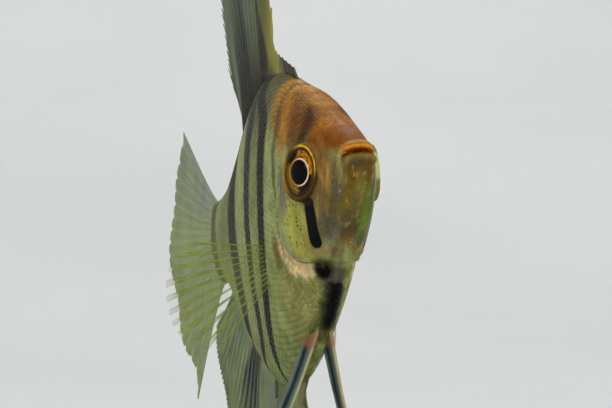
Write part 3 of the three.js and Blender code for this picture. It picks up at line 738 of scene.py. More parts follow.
BARS = (
    Bar(
        Hue.BAR,
        ((-0.5, 0.56), (-0.342, 0.535), (-0.292, 0.514), (-0.242, 0.489), (-0.194, 0.465), (-0.14, 0.444),
         (-0.07, 0.42), (-0.01, 0.406), (0.05, 0.397), (0.14, 0.391), (0.21, 0.391), (0.26, 0.396),
         (0.3, 0.42), (0.34, 0.45), (0.5, 0.47)),
        ((-0.4, 0.0), (-0.34, 0.01), (-0.29, 0.017), (-0.1, 0.022), (0.05, 0.025), (0.25, 0.029),
         (0.5, 0.024)),
    ),
    Bar(
        Hue.BAR,
        ((-0.5, 0.68), (-0.325, 0.635), (-0.278, 0.592), (-0.229, 0.558), (-0.178, 0.542), (-0.12, 0.534),
         (-0.047, 0.522), (0.03, 0.517), (0.08, 0.512), (0.158, 0.507), (0.21, 0.509), (0.3, 0.51),
         (0.39, 0.53), (0.5, 0.55)),
        ((-0.41, 0.0), (-0.36, 0.013), (-0.1, 0.023), (0.07, 0.027), (0.22, 0.031), (0.3, 0.035),
         (0.5, 0.024)),
    ),
    Bar(
        Hue.BAR,
        ((-0.5, 0.84), (-0.4, 0.82), (-0.33, 0.81), (-0.26, 0.765), (-0.2, 0.71), (-0.15, 0.687),
         (-0.09, 0.691), (-0.04, 0.694), (0.02, 0.707), (0.075, 0.712), (0.15, 0.715), (0.25, 0.7),
         (0.36, 0.69), (0.5, 0.7)),
        ((-0.5, 0.04), (-0.3, 0.045), (-0.1, 0.047), (0.02, 0.055), (0.15, 0.058), (0.3, 0.054), (0.5, 0.05)),
    ),
    Bar(
        Hue.BAR,
        ((-0.5, 0.99), (-0.07, 0.972), (0.08, 0.965), (0.23, 0.972), (0.5, 0.99)),
        ((-0.5, 0.033), (0.5, 0.033)),
        0.5, 0.65,
    ),
    Bar(
        Hue.BAR_BROWN_AND_CREASE_SHADE,
        ((0.0, 0.17), (0.14, 0.165), (0.16, 0.157), (0.18, 0.154), (0.2, 0.157), (0.22, 0.166), (0.3, 0.21)),
        ((0.1, 0.0), (0.12, 0.02), (0.19, 0.023), (0.215, 0.018), (0.25, 0.0)),
        0.8, 0.9, (0.015, 0.05),
    ),
    Bar(
        Hue.BAR_UMBER,
        ((0.0, 0.215), (0.14, 0.203), (0.18, 0.197), (0.225, 0.2), (0.27, 0.224), (0.32, 0.25)),
        ((0.09, 0.0), (0.14, 0.018), (0.22, 0.02), (0.27, 0.016), (0.31, 0.0)),
        0.9, 0.75, (0.01, 0.05),
    ),
    Bar(
        Hue.BAR_OLIVE,
        ((0.0, 0.29), (0.1, 0.302), (0.158, 0.305), (0.217, 0.294), (0.26, 0.298), (0.31, 0.292),
         (0.35, 0.28)),
        ((0.02, 0.0), (0.09, 0.009), (0.28, 0.011), (0.33, 0.0)),
        0.7, 0.7,
    ),
)
BREAST_PATCHES = (  # on the right side alone
    Patch(Hue.BREAST_MAUVE, (0.215, -0.18, -0.004), (0.05, 0.06, 0.05), 0.85, 0.4),
    Patch(Hue.BLACK, (0.2, -0.146, -0.044), (0.036, 0.022, 0.036), 0.85, 0.3),
    Patch(Hue.BLACK, (0.208, -0.164, -0.034), (0.038, 0.041, 0.031), 1.0, 0.5),
)
KEEL_BAR = Bar(
    Hue.BLACK,
    ((-0.5, 0.34), (-0.3, 0.3), (-0.277, 0.29), (-0.239, 0.263), (-0.193, 0.229), (-0.15, 0.2), (0.5, 0.2)),
    ((-0.32, 0.0), (-0.29, 0.012), (-0.265, 0.024), (-0.22, 0.028), (-0.195, 0.012), (-0.18, 0.0),
     (0.5, 0.0)),
    0.8, 1.0, (0.042, 0.008),
)


@dataclass(frozen=True)
class Markings:
    """The fish's colours and bars, with some painted light and shade, as one node group that skin, scales and
    fins share.
    """

    form: FishForm
    wander: float = 0.012  # how far the markings' edges stray, in body lengths
    keel_side: float = 0.006  # the side of the middle of the keel's blotch
    thinnest: float = 0.006  # half widths below this fade out

    def place_nodes(self, graph: Graph) -> tuple[Socket, Socket, Socket]:
        """The station, height and side of the shaded point."""
        local = graph.add(
            "Mapping", {"vector_type": "TEXTURE"}, Vector=graph.where(), Scale=(BODY_LENGTH,) * 3,
            Location=(0.0, 0.0, self.form.lift), Rotation=(0.0, -NOSE_UP, 0.0),
        ).outputs[0]
        x, y, z = graph.parted(local)
        return graph.math("SUBTRACT", 0.5, x), z, y

    def patch_nodes(self, graph: Graph, place: Socket, patch: Patch) -> Socket:
        """How strongly a patch shows at a place of station, height and side."""
        shares = graph.vector("DIVIDE", graph.vector("SUBTRACT", place, patch.middle), patch.reach)
        length = graph.add("VectorMath", {"operation": "LENGTH"}, i0=shares).outputs["Value"]
        return graph.step(length, 1.0, patch.core, 0.0, patch.strength)

    def bar_nodes(self, graph: Graph, place: tuple[Socket, Socket, Socket], bar: Bar) -> Socket:
        """How strongly a bar shows at a station, a height and a distance from the midplane."""
        station, height, side = place
        share = graph.math("ADD", height, HEIGHT_SPAN / 2)
        centre = graph.curve(share, tuple((h + HEIGHT_SPAN / 2, s) for h, s in bar.line))
        widths = tuple((h + HEIGHT_SPAN / 2, w / WIDTH_SPAN) for h, w in bar.half_width)
        half = graph.times(graph.curve(share, widths), WIDTH_SPAN)
        inside = graph.math("DIVIDE", graph.apart(station, centre), graph.math("MAXIMUM", half, 1e-4))
        edge = graph.step(inside, 1.0 + bar.softness, 1.0 - bar.softness, 0.0, bar.strength)
        shown = graph.times(edge, graph.step(half, 0.0, self.thinnest))
        return graph.times(shown, graph.step(side, *bar.sides)) if bar.sides else shown

    def speckled(self, graph: Graph, place: Socket, colour: Socket) -> Socket:
        """Adds the small dark speckles of the gill cover to a colour."""
        cells = graph.add("TexVoronoi", {}, Vector=place, Scale=95.0, Randomness=1.0)
        spot = graph.step(cells.outputs["Distance"], 0.42, 0.22)
        chosen = graph.math("GREATER_THAN", graph.noise(place, 60.0, 1.0), 0.48)
        share = graph.times(spot, chosen, self.patch_nodes(graph, place, SPECKLED))
        return graph.mix(share, colour, Hue.BLACK)

    def build(self) -> NodeTree:
        """Makes the node group.

        Returns:
            The group, which gives the colour, the share of the bars' black, and the place on the fish.
        """
        tree = bpy.data.node_groups.new("fish_markings", "ShaderNodeTree")
        graph = Graph(tree)
        station, height, side = self.place_nodes(graph)
        true_place = graph.joined(station, height, side)
        drift = graph.add("TexNoise", {}, Vector=true_place, Scale=45.0, Detail=4.0).outputs["Color"]
        centred = graph.vector("SUBTRACT", drift, (0.5,) * 3)
        small = graph.add("VectorMath", {"operation": "SCALE"}, i0=centred, Scale=self.wander).outputs[0]
        loose = graph.vector("ADD", true_place, small)
        along, up, out = graph.parted(loose)
        off = graph.math("ABSOLUTE", out)
        even = graph.joined(along, up, off)
        colour: Value = Hue.FLANK
        for patch in PATCHES:
            colour = graph.mix(self.patch_nodes(graph, even, patch), colour, patch.hue)
        speckle = graph.noise(even, 34.0, 2.0, (1.0, 0.4, 1.0))
        colour = graph.shaded(colour, graph.step(speckle, 0.3, 0.7, 0.82, 1.16))
        dark: Value = 0.0
        for bar in BARS:
            share = self.bar_nodes(graph, (along, up, off), bar)
            colour = graph.mix(share, colour, bar.hue)
            dark = graph.math("MAXIMUM", dark, share)
        for patch in SIDED:
            colour = graph.mix(self.patch_nodes(graph, loose, patch), colour, patch.hue)
        for patch in BREAST_PATCHES:
            share = self.patch_nodes(graph, loose, patch)
            colour = graph.mix(share, colour, patch.hue)
            dark = graph.math("MAXIMUM", dark, share)
        share = self.bar_nodes(graph, (along, up, graph.apart(out, self.keel_side)), KEEL_BAR)
        colour = self.speckled(graph, even, graph.mix(share, colour, KEEL_BAR.hue))
        results = {"Colour": colour, "Dark": dark, "Station": station, "Height": height, "Side": side}
        for name in results:
            kind = "NodeSocketColor" if name == "Colour" else "NodeSocketFloat"
            tree.interface.new_socket(name, in_out="OUTPUT", socket_type=kind)
        ending = tree.nodes.new("NodeGroupOutput")
        for name, value in results.items():
            graph.feed(ending.inputs[name], value)
        return tree


@dataclass(frozen=True)
class Stroke:
    """A soft stroke of colour along one of the head's lines; its sizes are millimetres."""

    line: str
    middle: float  # how far from the line it runs
    half: float  # half its width
    soft: float  # how far its edges fade
    hue: Hue
    strength: float = 1.0
    masks: tuple[str, ...] = ()  # what limits it


STROKES = (  # in the order in which they lie over each other
    Stroke("gill", -0.5, 0.2, 0.3, Hue.LILAC, 0.75, ("low", "broken")),
    Stroke("gill", -0.25, 0.2, 0.25, Hue.PEACH, 0.6, ("glow",)),
    # painted shadow just behind the gill cover's raised edge
    Stroke("gill", 0.12, 0.08, 0.14, Hue.BAR_BROWN_AND_CREASE_SHADE, 0.7, ("low", "facing")),
    # painted shadow under the gill cover's lower edge
    Stroke("gill", 0.1, 0.16, 0.2, Hue.BREAST_GREY_AND_SHADE, 0.8, ("under", "facing")),
    # painted shade in the jaw's fold
    Stroke("jaw", 0.05, 0.09, 0.25, Hue.BAR_BROWN_AND_CREASE_SHADE, 0.3, ("broken", "facing")),
    Stroke("band", 0.0, 0.3, 0.2, Hue.PLATE, 0.8, ("corner", "facing")),
    Stroke("band", 0.0, 0.45, 0.35, Hue.LILAC, 0.45, ("fading", "broken", "facing")),
    # painted shade in the groove beside the gill band
    Stroke("band", -0.6, 0.05, 0.14, Hue.BAR_BROWN_AND_CREASE_SHADE, 0.5, ("corner", "facing")),
    Stroke("bar", 0.0, 1.0, 0.1, Hue.BLACK),
    Stroke("orbit", 4.1, 0.25, 0.25, Hue.RIM_BROWN, 1.0, ("brow",)),
    Stroke("orbit", 3.42, 0.38, 0.12, Hue.RIM_OLIVE, 0.95),
    # gold on the surround's rear lower part, and on its lit front and top as painted light
    Stroke("orbit", 3.45, 0.12, 0.14, Hue.IRIS_GOLD, 0.75, ("ends",)),
    # the surround's gold rim on its front and top alone, partly a painted highlight
    Stroke("orbit", 3.5, 0.13, 0.12, Hue.RIM_GOLD_AND_HIGHLIGHT, 1.0, ("lit", "broken")),
    # painted shade in the crevice between each eye and its surround
    Stroke("orbit", 3.02, 0.14, 0.1, Hue.SHADE_BROWN, 0.95),
    # painted shade on the surround's unlit lower and rear side
    Stroke("orbit", 3.8, 0.1, 0.14, Hue.SHADE_BROWN, 1.0, ("unlit",)),
    Stroke("orbit", 3.6, 1.2, 0.2, Hue.THROAT_OLIVE, 0.8, ("left",)),
    # painted glint on the front of the far, left eye's surround
    Stroke("orbit", 3.5, 0.75, 0.2, Hue.RIM_GLINT, 1.0, ("left", "level", "ahead")),
    # painted highlight on the fold above the upper lip
    Stroke("mouth", 1.5, 0.35, 0.3, Hue.LIP_GOLD_AND_HIGHLIGHT, 0.5, ("lips", "creases")),
    Stroke("mouth", 0.62, 0.34, 0.14, Hue.LIP, 1.0, ("lips",)),
    # the upper lip's gold, partly a painted highlight along its top
    Stroke("mouth", 0.8, 0.16, 0.2, Hue.LIP_GOLD_AND_HIGHLIGHT, 1.0, ("lips", "creases")),
    Stroke("mouth", 0.36, 0.1, 0.16, Hue.LIP_RED_AND_GROOVE_SHADE, 1.0, ("lips",)),
    # painted shade in the groove above the upper lip
    Stroke("mouth", 1.06, 0.05, 0.12, Hue.LIP_RED_AND_GROOVE_SHADE, 0.9, ("lips",)),
    Stroke("mouth", -0.6, 0.5, 0.3, Hue.JAW, 0.9, ("lips",)),
    # painted shadow under the upper lip, over the gap between the lips
    Stroke("mouth", -0.25, 0.42, 0.2, Hue.SHADE_BROWN, 1.0, ("lips",)),
)


@dataclass(frozen=True)
class SkinFinish:
    """Wet, faintly translucent skin with the fish's markings and the drawing of its head."""

    markings: NodeTree
    roughness: float = 0.42

    def masks(self, graph: Graph) -> dict[str, Socket]:
        """The masks that limit the strokes, by name: how much of a stroke each lets through."""
        marks = graph.group(self.markings)
        station, height, side = (marks[name] for name in ("Station", "Height", "Side"))
        where = graph.where()
        ahead = graph.math("SUBTRACT", EYE_PLACE[0], station)
        up = graph.math("SUBTRACT", height, EYE_PLACE[1])
        # the front and top of each eye's surround, where light falls: strokes limited by lit are painted
        # light, by unlit painted shade
        lit = graph.times(graph.step(ahead, -0.015, 0.03), graph.step(up, -0.035, 0.01))
        rear = graph.times(graph.step(ahead, -0.025, -0.05), graph.step(up, -0.05, -0.02))
        return {
            "facing": graph.step(side, 0.03, 0.0, 0.35, 1.0),
            "broken": graph.step(graph.noise(where, 700.0, 3.0), 0.34, 0.62, 0.35, 1.0),
            "low": graph.times(graph.step(height, 0.15, 0.08), graph.step(height, -0.138, -0.118)),
            # below the gill cover's lower edge, where its painted shadow goes
            "glow": graph.times(graph.step(height, 0.0, -0.04), graph.step(height, -0.12, -0.1)),
            "under": graph.step(height, -0.118, -0.13),
            "corner": graph.times(graph.step(station, 0.14, 0.17), graph.step(height, -0.07, -0.09)),
            "fading": graph.times(graph.step(station, 0.17, 0.14), graph.step(station, 0.078, 0.11)),
            "lit": lit,
            "unlit": graph.step(lit, 0.6, 0.0, 0.0, 0.75),
            "brow": graph.step(lit, 0.0, 1.0, 0.2, 0.7),
            "ends": graph.math("MAXIMUM", lit, rear),
            "left": graph.step(side, 0.0, 0.02),
            "level": graph.step(graph.math("ABSOLUTE", up), 0.04, 0.024),
            "ahead": graph.step(ahead, 0.0, 0.03),
            "lips": graph.step(station, 0.034, 0.016),
            "creases": graph.step(graph.noise(where, 1500.0, 2.0, (1.0, 1.0, 0.12)), 0.36, 0.6, 0.2, 1.0),
        }

    def lines(self, graph: Graph, colour: Socket) -> Socket:
        """Draws the cheek's bar, painted shade in the folds and the gill opening, the eyes' rings with
        painted light and shade, and the lips with their painted shadow and highlights over a colour.
        """
        masks = self.masks(graph)
        fields = {name: graph.attribute(name) for name in ("bar", "band", "jaw", "gill", "orbit", "mouth")}
        for stroke in STROKES:
            off = graph.apart(fields[stroke.line], stroke.middle)
            shown = graph.step(off, stroke.half + stroke.soft, stroke.half - stroke.soft)
            share = graph.times(shown, *(masks[name] for name in stroke.masks), stroke.strength)
            colour = graph.mix(share, colour, stroke.hue)
        return colour

    def mottled(self, graph: Graph, where: Socket) -> Socket:
        """The colour of the markings, with streaks, flecks and clouds over the face."""
        marks = graph.group(self.markings)
        streaks = graph.noise(where, 1100.0, 3.0, (1.0, 1.0, 0.16))
        flecks = graph.noise(where, 1900.0, 2.0, (1.0, 1.0, 0.3))
        clouds = graph.noise(where, 420.0, 3.0, (1.0, 1.0, 0.3))
        on_face = graph.step(marks["Station"], 0.24, 0.16)
        lower = graph.times(on_face, graph.step(marks["Height"], 0.1, 0.04))
        colour = marks["Colour"]
        for share, part, hue in (
            (graph.step(streaks, 0.5, 0.72, 0.0, 0.5), on_face, Hue.RIM_BROWN),
            (graph.step(streaks, 0.46, 0.3, 0.0, 0.5), lower, Hue.CHEEK_TAN_AND_HIGHLIGHT),
            (graph.step(flecks, 0.62, 0.74, 0.0, 0.5), lower, Hue.FLANK_SILVER),
            (graph.step(clouds, 0.42, 0.6, 0.0, 0.6), lower, Hue.THROAT_DARK),
        ):
            colour = graph.mix(graph.times(share, part), colour, hue)
        return colour

    def build(self) -> Material:
        """Makes the material, for a skin that carries the fields of its lines."""
        paint = Paint("fish_skin")
        where = paint.where()
        fine = paint.noise(where, 2600.0, 4.0)
        wrinkle = paint.noise(where, 900.0, 3.0, (1.0, 1.0, 0.45))
        colour = self.lines(paint, self.mottled(paint, where))
        return paint.surface(
            Base_Color=paint.shaded(colour, paint.step(fine, 0.3, 0.7, 0.88, 1.12)),
            Roughness=paint.step(wrinkle, 0.3, 0.7, self.roughness - 0.08, self.roughness + 0.1),
            Normal=paint.bump(fine, 0.25, 0.05 * MM, paint.bump(wrinkle, 0.35, 0.12 * MM)),
            Subsurface_Weight=0.1, Subsurface_Radius=(0.6, 0.45, 0.25), Subsurface_Scale=0.6 * MM,
            Specular_IOR_Level=0.05, Coat_Weight=0.02, Coat_Roughness=0.15,
        )


@dataclass(frozen=True)
class ScaleFinish:
    """Small scales with the markings of the skin under them and a silvery sheen on the flank."""

    markings: NodeTree
    silver: float = 0.1

    def build(self) -> Material:
        """Makes the material, for scales that carry their own tone and how far along them a point lies."""
        paint = Paint("fish_scales")
        marks = paint.group(self.markings)
        flank = paint.step(marks["Station"], 0.26, 0.4)
        spread = paint.step(flank, 0.0, 1.0, 0.4, 0.16)
        tone = paint.times(paint.math("SUBTRACT", paint.attribute("tone"), 0.5), spread)
        edge = paint.step(paint.attribute("reach"), 0.5, 1.0)
        rim = paint.times(edge, paint.step(flank, 0.0, 1.0, 0.05, 0.1))
        shade = paint.times(paint.math("ADD", tone, 1.0), paint.math("SUBTRACT", 1.03, rim))
        rings = paint.noise(paint.where(), 3000.0, 2.0)
        matt = paint.step(flank, 1.0, 0.0, 0.0, 0.14)
        return paint.surface(
            Base_Color=paint.shaded(marks["Colour"], shade),
            Metallic=paint.times(flank, paint.step(marks["Dark"], 0.6, 0.0), self.silver),
            Roughness=paint.math("ADD", paint.step(rings, 0.3, 0.7, 0.34, 0.46), matt),
            Normal=paint.bump(rings, 0.2, 0.03 * MM),
            Specular_IOR_Level=0.04,
        )


class FinKind(Enum):
    """How a fin is coloured."""

    DORSAL = "dorsal"
    ANAL = "anal"
    TAIL = "tail"
    PECTORAL = "pectoral"
    PELVIC = "pelvic"


@dataclass(frozen=True)
class FinFinish:
    """A thin membrane over finer, denser rays."""

    kind: FinKind
    across: tuple[tuple[float, Hue], ...]  # the membrane's colour from the first ray to the last
    ray: Hue
    membrane: float  # how much of the light the membrane holds back
    rays: float = 0.95  # and the rays
    ray_tint: float = 0.6
    marked: bool = False  # whether the body's bars run into the fin
    foot: float = 0.0  # how much darker the fin is towards the body
    fade: float = 0.0  # how much clearer the rays are towards their tips
    knob: Hue | None = None  # the colour of a fleshy root

    def tint(self, paint: Paint, mottle: Socket, foot: Socket, markings: NodeTree) -> Socket:
        """The fin's colour, from the noise that breaks it up and how far a point belongs to its dark foot."""
        ray, across, along = (paint.attribute(name) for name in ("ray", "across", "along"))
        shifted = paint.math("ADD", across, paint.step(mottle, 0.2, 0.8, -0.03, 0.03))
        on_ray = paint.step(ray, 0.2, 0.9, 0.0, self.ray_tint)
        colour = paint.mix(on_ray, paint.ramp(shifted, self.across), self.ray)
        colour = paint.shaded(colour, paint.step(mottle, 0.25, 0.75, 0.78, 1.16))
        if self.marked:
            marks = paint.group(markings)
            near = paint.times(paint.step(along, 0.85, 0.2), paint.step(across, 0.28, 0.45))
            colour = paint.mix(paint.times(marks["Dark"], near), colour, Hue.BAR)
            colour = paint.mix(paint.step(along, 0.14, 0.03), colour, marks["Colour"])
        colour = paint.mix(foot, colour, Hue.FIN_DARK)
        if self.knob:
            colour = paint.mix(paint.step(along, 0.1, 0.07, 0.0, 0.7), colour, self.knob)
        return colour

    def build(self, markings: NodeTree) -> Material:
        """Makes the material, for a fin that carries its rays and where a point lies across and along it."""
        paint = Paint(f"fin_{self.kind.value}")
        ray, along = paint.attribute("ray"), paint.attribute("along")
        mottle = paint.noise(paint.where(), 420.0, 3.0, (1.0, 1.0, 0.5))
        foot = paint.step(along, 0.42, 0.1, 0.0, self.foot)
        cover = paint.step(ray, 0.15, 0.8, self.membrane, self.rays)
        cover = paint.times(cover, paint.step(along, 0.75, 1.0, 1.0, 1.0 - self.fade))
        flesh = paint.math("MAXIMUM", foot, paint.step(along, 0.12, 0.0))
        joints = paint.math("SINE", paint.times(along, 190.0))
        return paint.surface(
            Base_Color=self.tint(paint, mottle, foot, markings),
            Alpha=paint.math("MAXIMUM", cover, flesh),
            Normal=paint.bump(joints, 0.15, 0.04 * MM),
            Roughness=paint.step(mottle, 0.3, 0.7, 0.4, 0.55),
            Subsurface_Weight=0.25, Subsurface_Scale=0.4 * MM, Specular_IOR_Level=0.08,
        )


FIN_FINISHES = (
    FinFinish(
        FinKind.DORSAL,
        ((0.0, Hue.FIN_DARK), (0.1, Hue.FIN_DARK), (0.18, Hue.FIN_MUSTARD), (0.34, Hue.FIN_MUSTARD),
         (0.46, Hue.FIN_OLIVE), (0.58, Hue.FIN_GREY), (0.74, Hue.FIN_PALE), (0.9, Hue.FIN_GREY),
         (1.0, Hue.FIN_OLIVE)),
        Hue.FIN_OLIVE, 0.78, marked=True, foot=0.9,
    ),
    FinFinish(
        FinKind.ANAL,
        ((0.0, Hue.FIN_OLIVE), (0.12, Hue.FIN_OLIVE), (0.24, Hue.FIN_YELLOW), (0.36, Hue.FIN_GREEN),
         (0.55, Hue.FIN_PALE), (0.75, Hue.FIN_GREEN), (1.0, Hue.FIN_PALE)),
        Hue.FIN_OLIVE, 0.66, ray_tint=0.4, marked=True,
    ),
    FinFinish(
        FinKind.TAIL, ((0.0, Hue.FIN_PALE), (0.3, Hue.FIN_GREEN), (1.0, Hue.FIN_GREEN)),
        Hue.FIN_YELLOW, 0.6, 0.7, 0.4,
    ),
    FinFinish(
        FinKind.PECTORAL, ((0.0, Hue.FIN_GREEN), (1.0, Hue.FIN_GREEN)),
        Hue.FIN_YELLOW, 0.07, 0.75, 0.9, fade=0.7,
    ),
    FinFinish(
        FinKind.PELVIC,
        ((0.0, Hue.PELVIC_CREAM), (0.14, Hue.PELVIC_SILVER), (0.38, Hue.PELVIC_TEAL),
         (0.52, Hue.PELVIC_NAVY), (0.72, Hue.PELVIC_NAVY), (0.88, Hue.PELVIC_SILVER),
         (1.0, Hue.PELVIC_SILVER)),
        Hue.PELVIC_SILVER, 0.9, ray_tint=0.25, knob=Hue.PELVIC_RED,
    ),
)


@dataclass(frozen=True)
class EyeFinish:
    """A black lens in a gold iris that a dark bar crosses, with painted light on its front and top, under a
    wet gloss.
    """

    pupil: float  # radii as shares of the eye's
    ring: float
    iris: float
    bar_middle: Points = (  # where the bar lies across the iris, from its lower edge up
        (0.0, 0.55), (0.1, 0.56), (0.25, 0.6), (0.38, 0.71), (0.5, 0.55), (0.6, 0.32), (0.8, 0.3),
        (1.0, 0.35),
    )
    bar_half: Points = (  # and half its width
        (0.0, 0.38), (0.1, 0.36), (0.25, 0.38), (0.38, 0.2), (0.46, 0.0), (0.6, 0.0), (0.7, 0.2), (0.8, 0.28),
        (1.0, 0.32),
    )

    def bar(self, paint: Paint, ahead: Socket, up: Socket, fleck: Socket) -> Socket:
        """How strongly the dark bar shows at a place of the iris, frayed by a noise."""
        height = paint.math("ADD", paint.times(up, 0.5), 0.5)
        lean = paint.curve(height, self.bar_middle)
        wide = paint.curve(height, self.bar_half)
        off = paint.apart(ahead, paint.math("MULTIPLY_ADD", lean, 2.0, third=-1.0))
        frayed = paint.math("ADD", off, paint.step(fleck, 0.3, 0.7, -0.07, 0.07))
        shown = paint.step(paint.math("SUBTRACT", frayed, wide), 0.07, -0.09)
        return paint.times(shown, paint.step(wide, 0.0, 0.1))

    def build(self) -> Material:
        """Makes the material, for an eye that carries how far out, up and forwards its points lie."""
        paint = Paint("fish_eye")
        out, ahead, up = (paint.attribute(name) for name in ("out", "ahead", "up"))
        place = paint.joined(ahead, up, out)
        streak = paint.noise(place, 6.0, 5.0)
        fleck = paint.noise(place, 22.0, 3.0)
        # painted light: the iris is golder on its front and top, where light falls, and more olive below
        lit = paint.times(paint.step(ahead, -0.3, 0.2), paint.step(up, -0.7, 0.1, 0.4, 1.0))
        gold = paint.mix(paint.step(streak, 0.42, 0.62), Hue.IRIS_ORANGE, Hue.IRIS_GOLD)
        olive = paint.mix(paint.step(fleck, 0.46, 0.7, 0.0, 0.7), Hue.IRIS_OLIVE, Hue.IRIS_GOLD)
        inner = paint.step(paint.apart(out, 0.7), 0.035, 0.01)
        bar = self.bar(paint, ahead, up, fleck)
        pupil = paint.step(out, self.pupil + 0.01, self.pupil - 0.01)
        colour = paint.mix(lit, olive, gold)
        for share, hue in (
            (paint.times(inner, paint.step(streak, 0.35, 0.55, 0.4, 1.0)), Hue.IRIS_GOLD),
            (paint.times(bar, 0.97), Hue.BLACK),
            # painted shade round the iris's outer edge, lighter where light falls
            (paint.step(out, self.iris - 0.02, self.iris + 0.03),
             paint.mix(paint.times(lit, 0.5), Hue.SHADE_BROWN, Hue.IRIS_ORANGE)),
            # the pupil's gold ring, whitened towards its front as a painted highlight
            (paint.step(out, self.ring + 0.015, self.ring - 0.005),
             paint.mix(paint.step(ahead, -0.25, 0.2), Hue.IRIS_GOLD, Hue.PUPIL_RING_HIGHLIGHT)),
            (pupil, Hue.PUPIL),
        ):
            colour = paint.mix(share, colour, hue)
        return paint.surface(
            Base_Color=colour,
            Metallic=paint.times(paint.math("SUBTRACT", 1.0, pupil), paint.step(bar, 1.0, 0.0, 0.0, 0.25)),
            Roughness=paint.step(out, self.pupil, self.ring, 0.05, 0.3),
            Normal=paint.bump(streak, 0.2, 0.06 * MM),
            Specular_IOR_Level=0.05, Coat_Weight=0.07, Coat_Roughness=0.03,
        )


@dataclass(frozen=True)
class WoodFinish:
    """Dark stained hardwood with its grain along X, under a satin lacquer."""

    def build(self) -> Material:
        """Makes the material."""
        paint = Paint("stand_wood")
        where = paint.where()
        grain = paint.noise(where, 260.0, 6.0, (0.08, 1.0, 1.0))
        pores = paint.noise(where, 2400.0, 2.0, (0.05, 1.0, 1.0))
        colour = paint.mix(paint.step(grain, 0.32, 0.68), Hue.WOOD_DARK, Hue.WOOD_LIGHT)
        return paint.surface(
            Base_Color=paint.shaded(colour, paint.step(pores, 0.36, 0.5, 0.55, 1.0)),
            Roughness=paint.step(grain, 0.3, 0.7, 0.34, 0.5),
            Normal=paint.bump(pores, 0.3, 0.08 * MM),
            Coat_Weight=0.5, Coat_Roughness=0.18,
        )


@dataclass(frozen=True)
class SteelFinish:
    """Drawn steel with fine lines along it."""

    def build(self) -> Material:
        """Makes the material."""
        paint = Paint("stand_steel")
        lines = paint.noise(paint.where(), 5200.0, 2.0, (1.0, 1.0, 0.03))
        return paint.surface(
            Base_Color=paint.shaded(Hue.STEEL, paint.step(lines, 0.3, 0.7, 0.85, 1.05)),
            Roughness=paint.step(lines, 0.3, 0.7, 0.24, 0.38),
            Normal=paint.bump(lines, 0.15, 0.02 * MM),
            Metallic=1.0,
        )


@dataclass(frozen=True)
class FloorFinish:
    """Matt pale paint, a little uneven."""

    def build(self) -> Material:
        """Makes the material."""
        paint = Paint("floor_paint")
        tone = paint.step(paint.noise(paint.where(), 3.0, 3.0), 0.3, 0.7, 0.97, 1.03)
        return paint.surface(
            Base_Color=paint.shaded(Hue.FLOOR, tone), Roughness=0.9, Specular_IOR_Level=0.1,
        )


# -- the skin
@dataclass(frozen=True)
class Lip:
    """A lip's middle line and its radius, in body lengths."""

    front: float  # its station at the snout
    height: float
    drop: float  # how fast it sinks towards the corners of the mouth
    radius: float


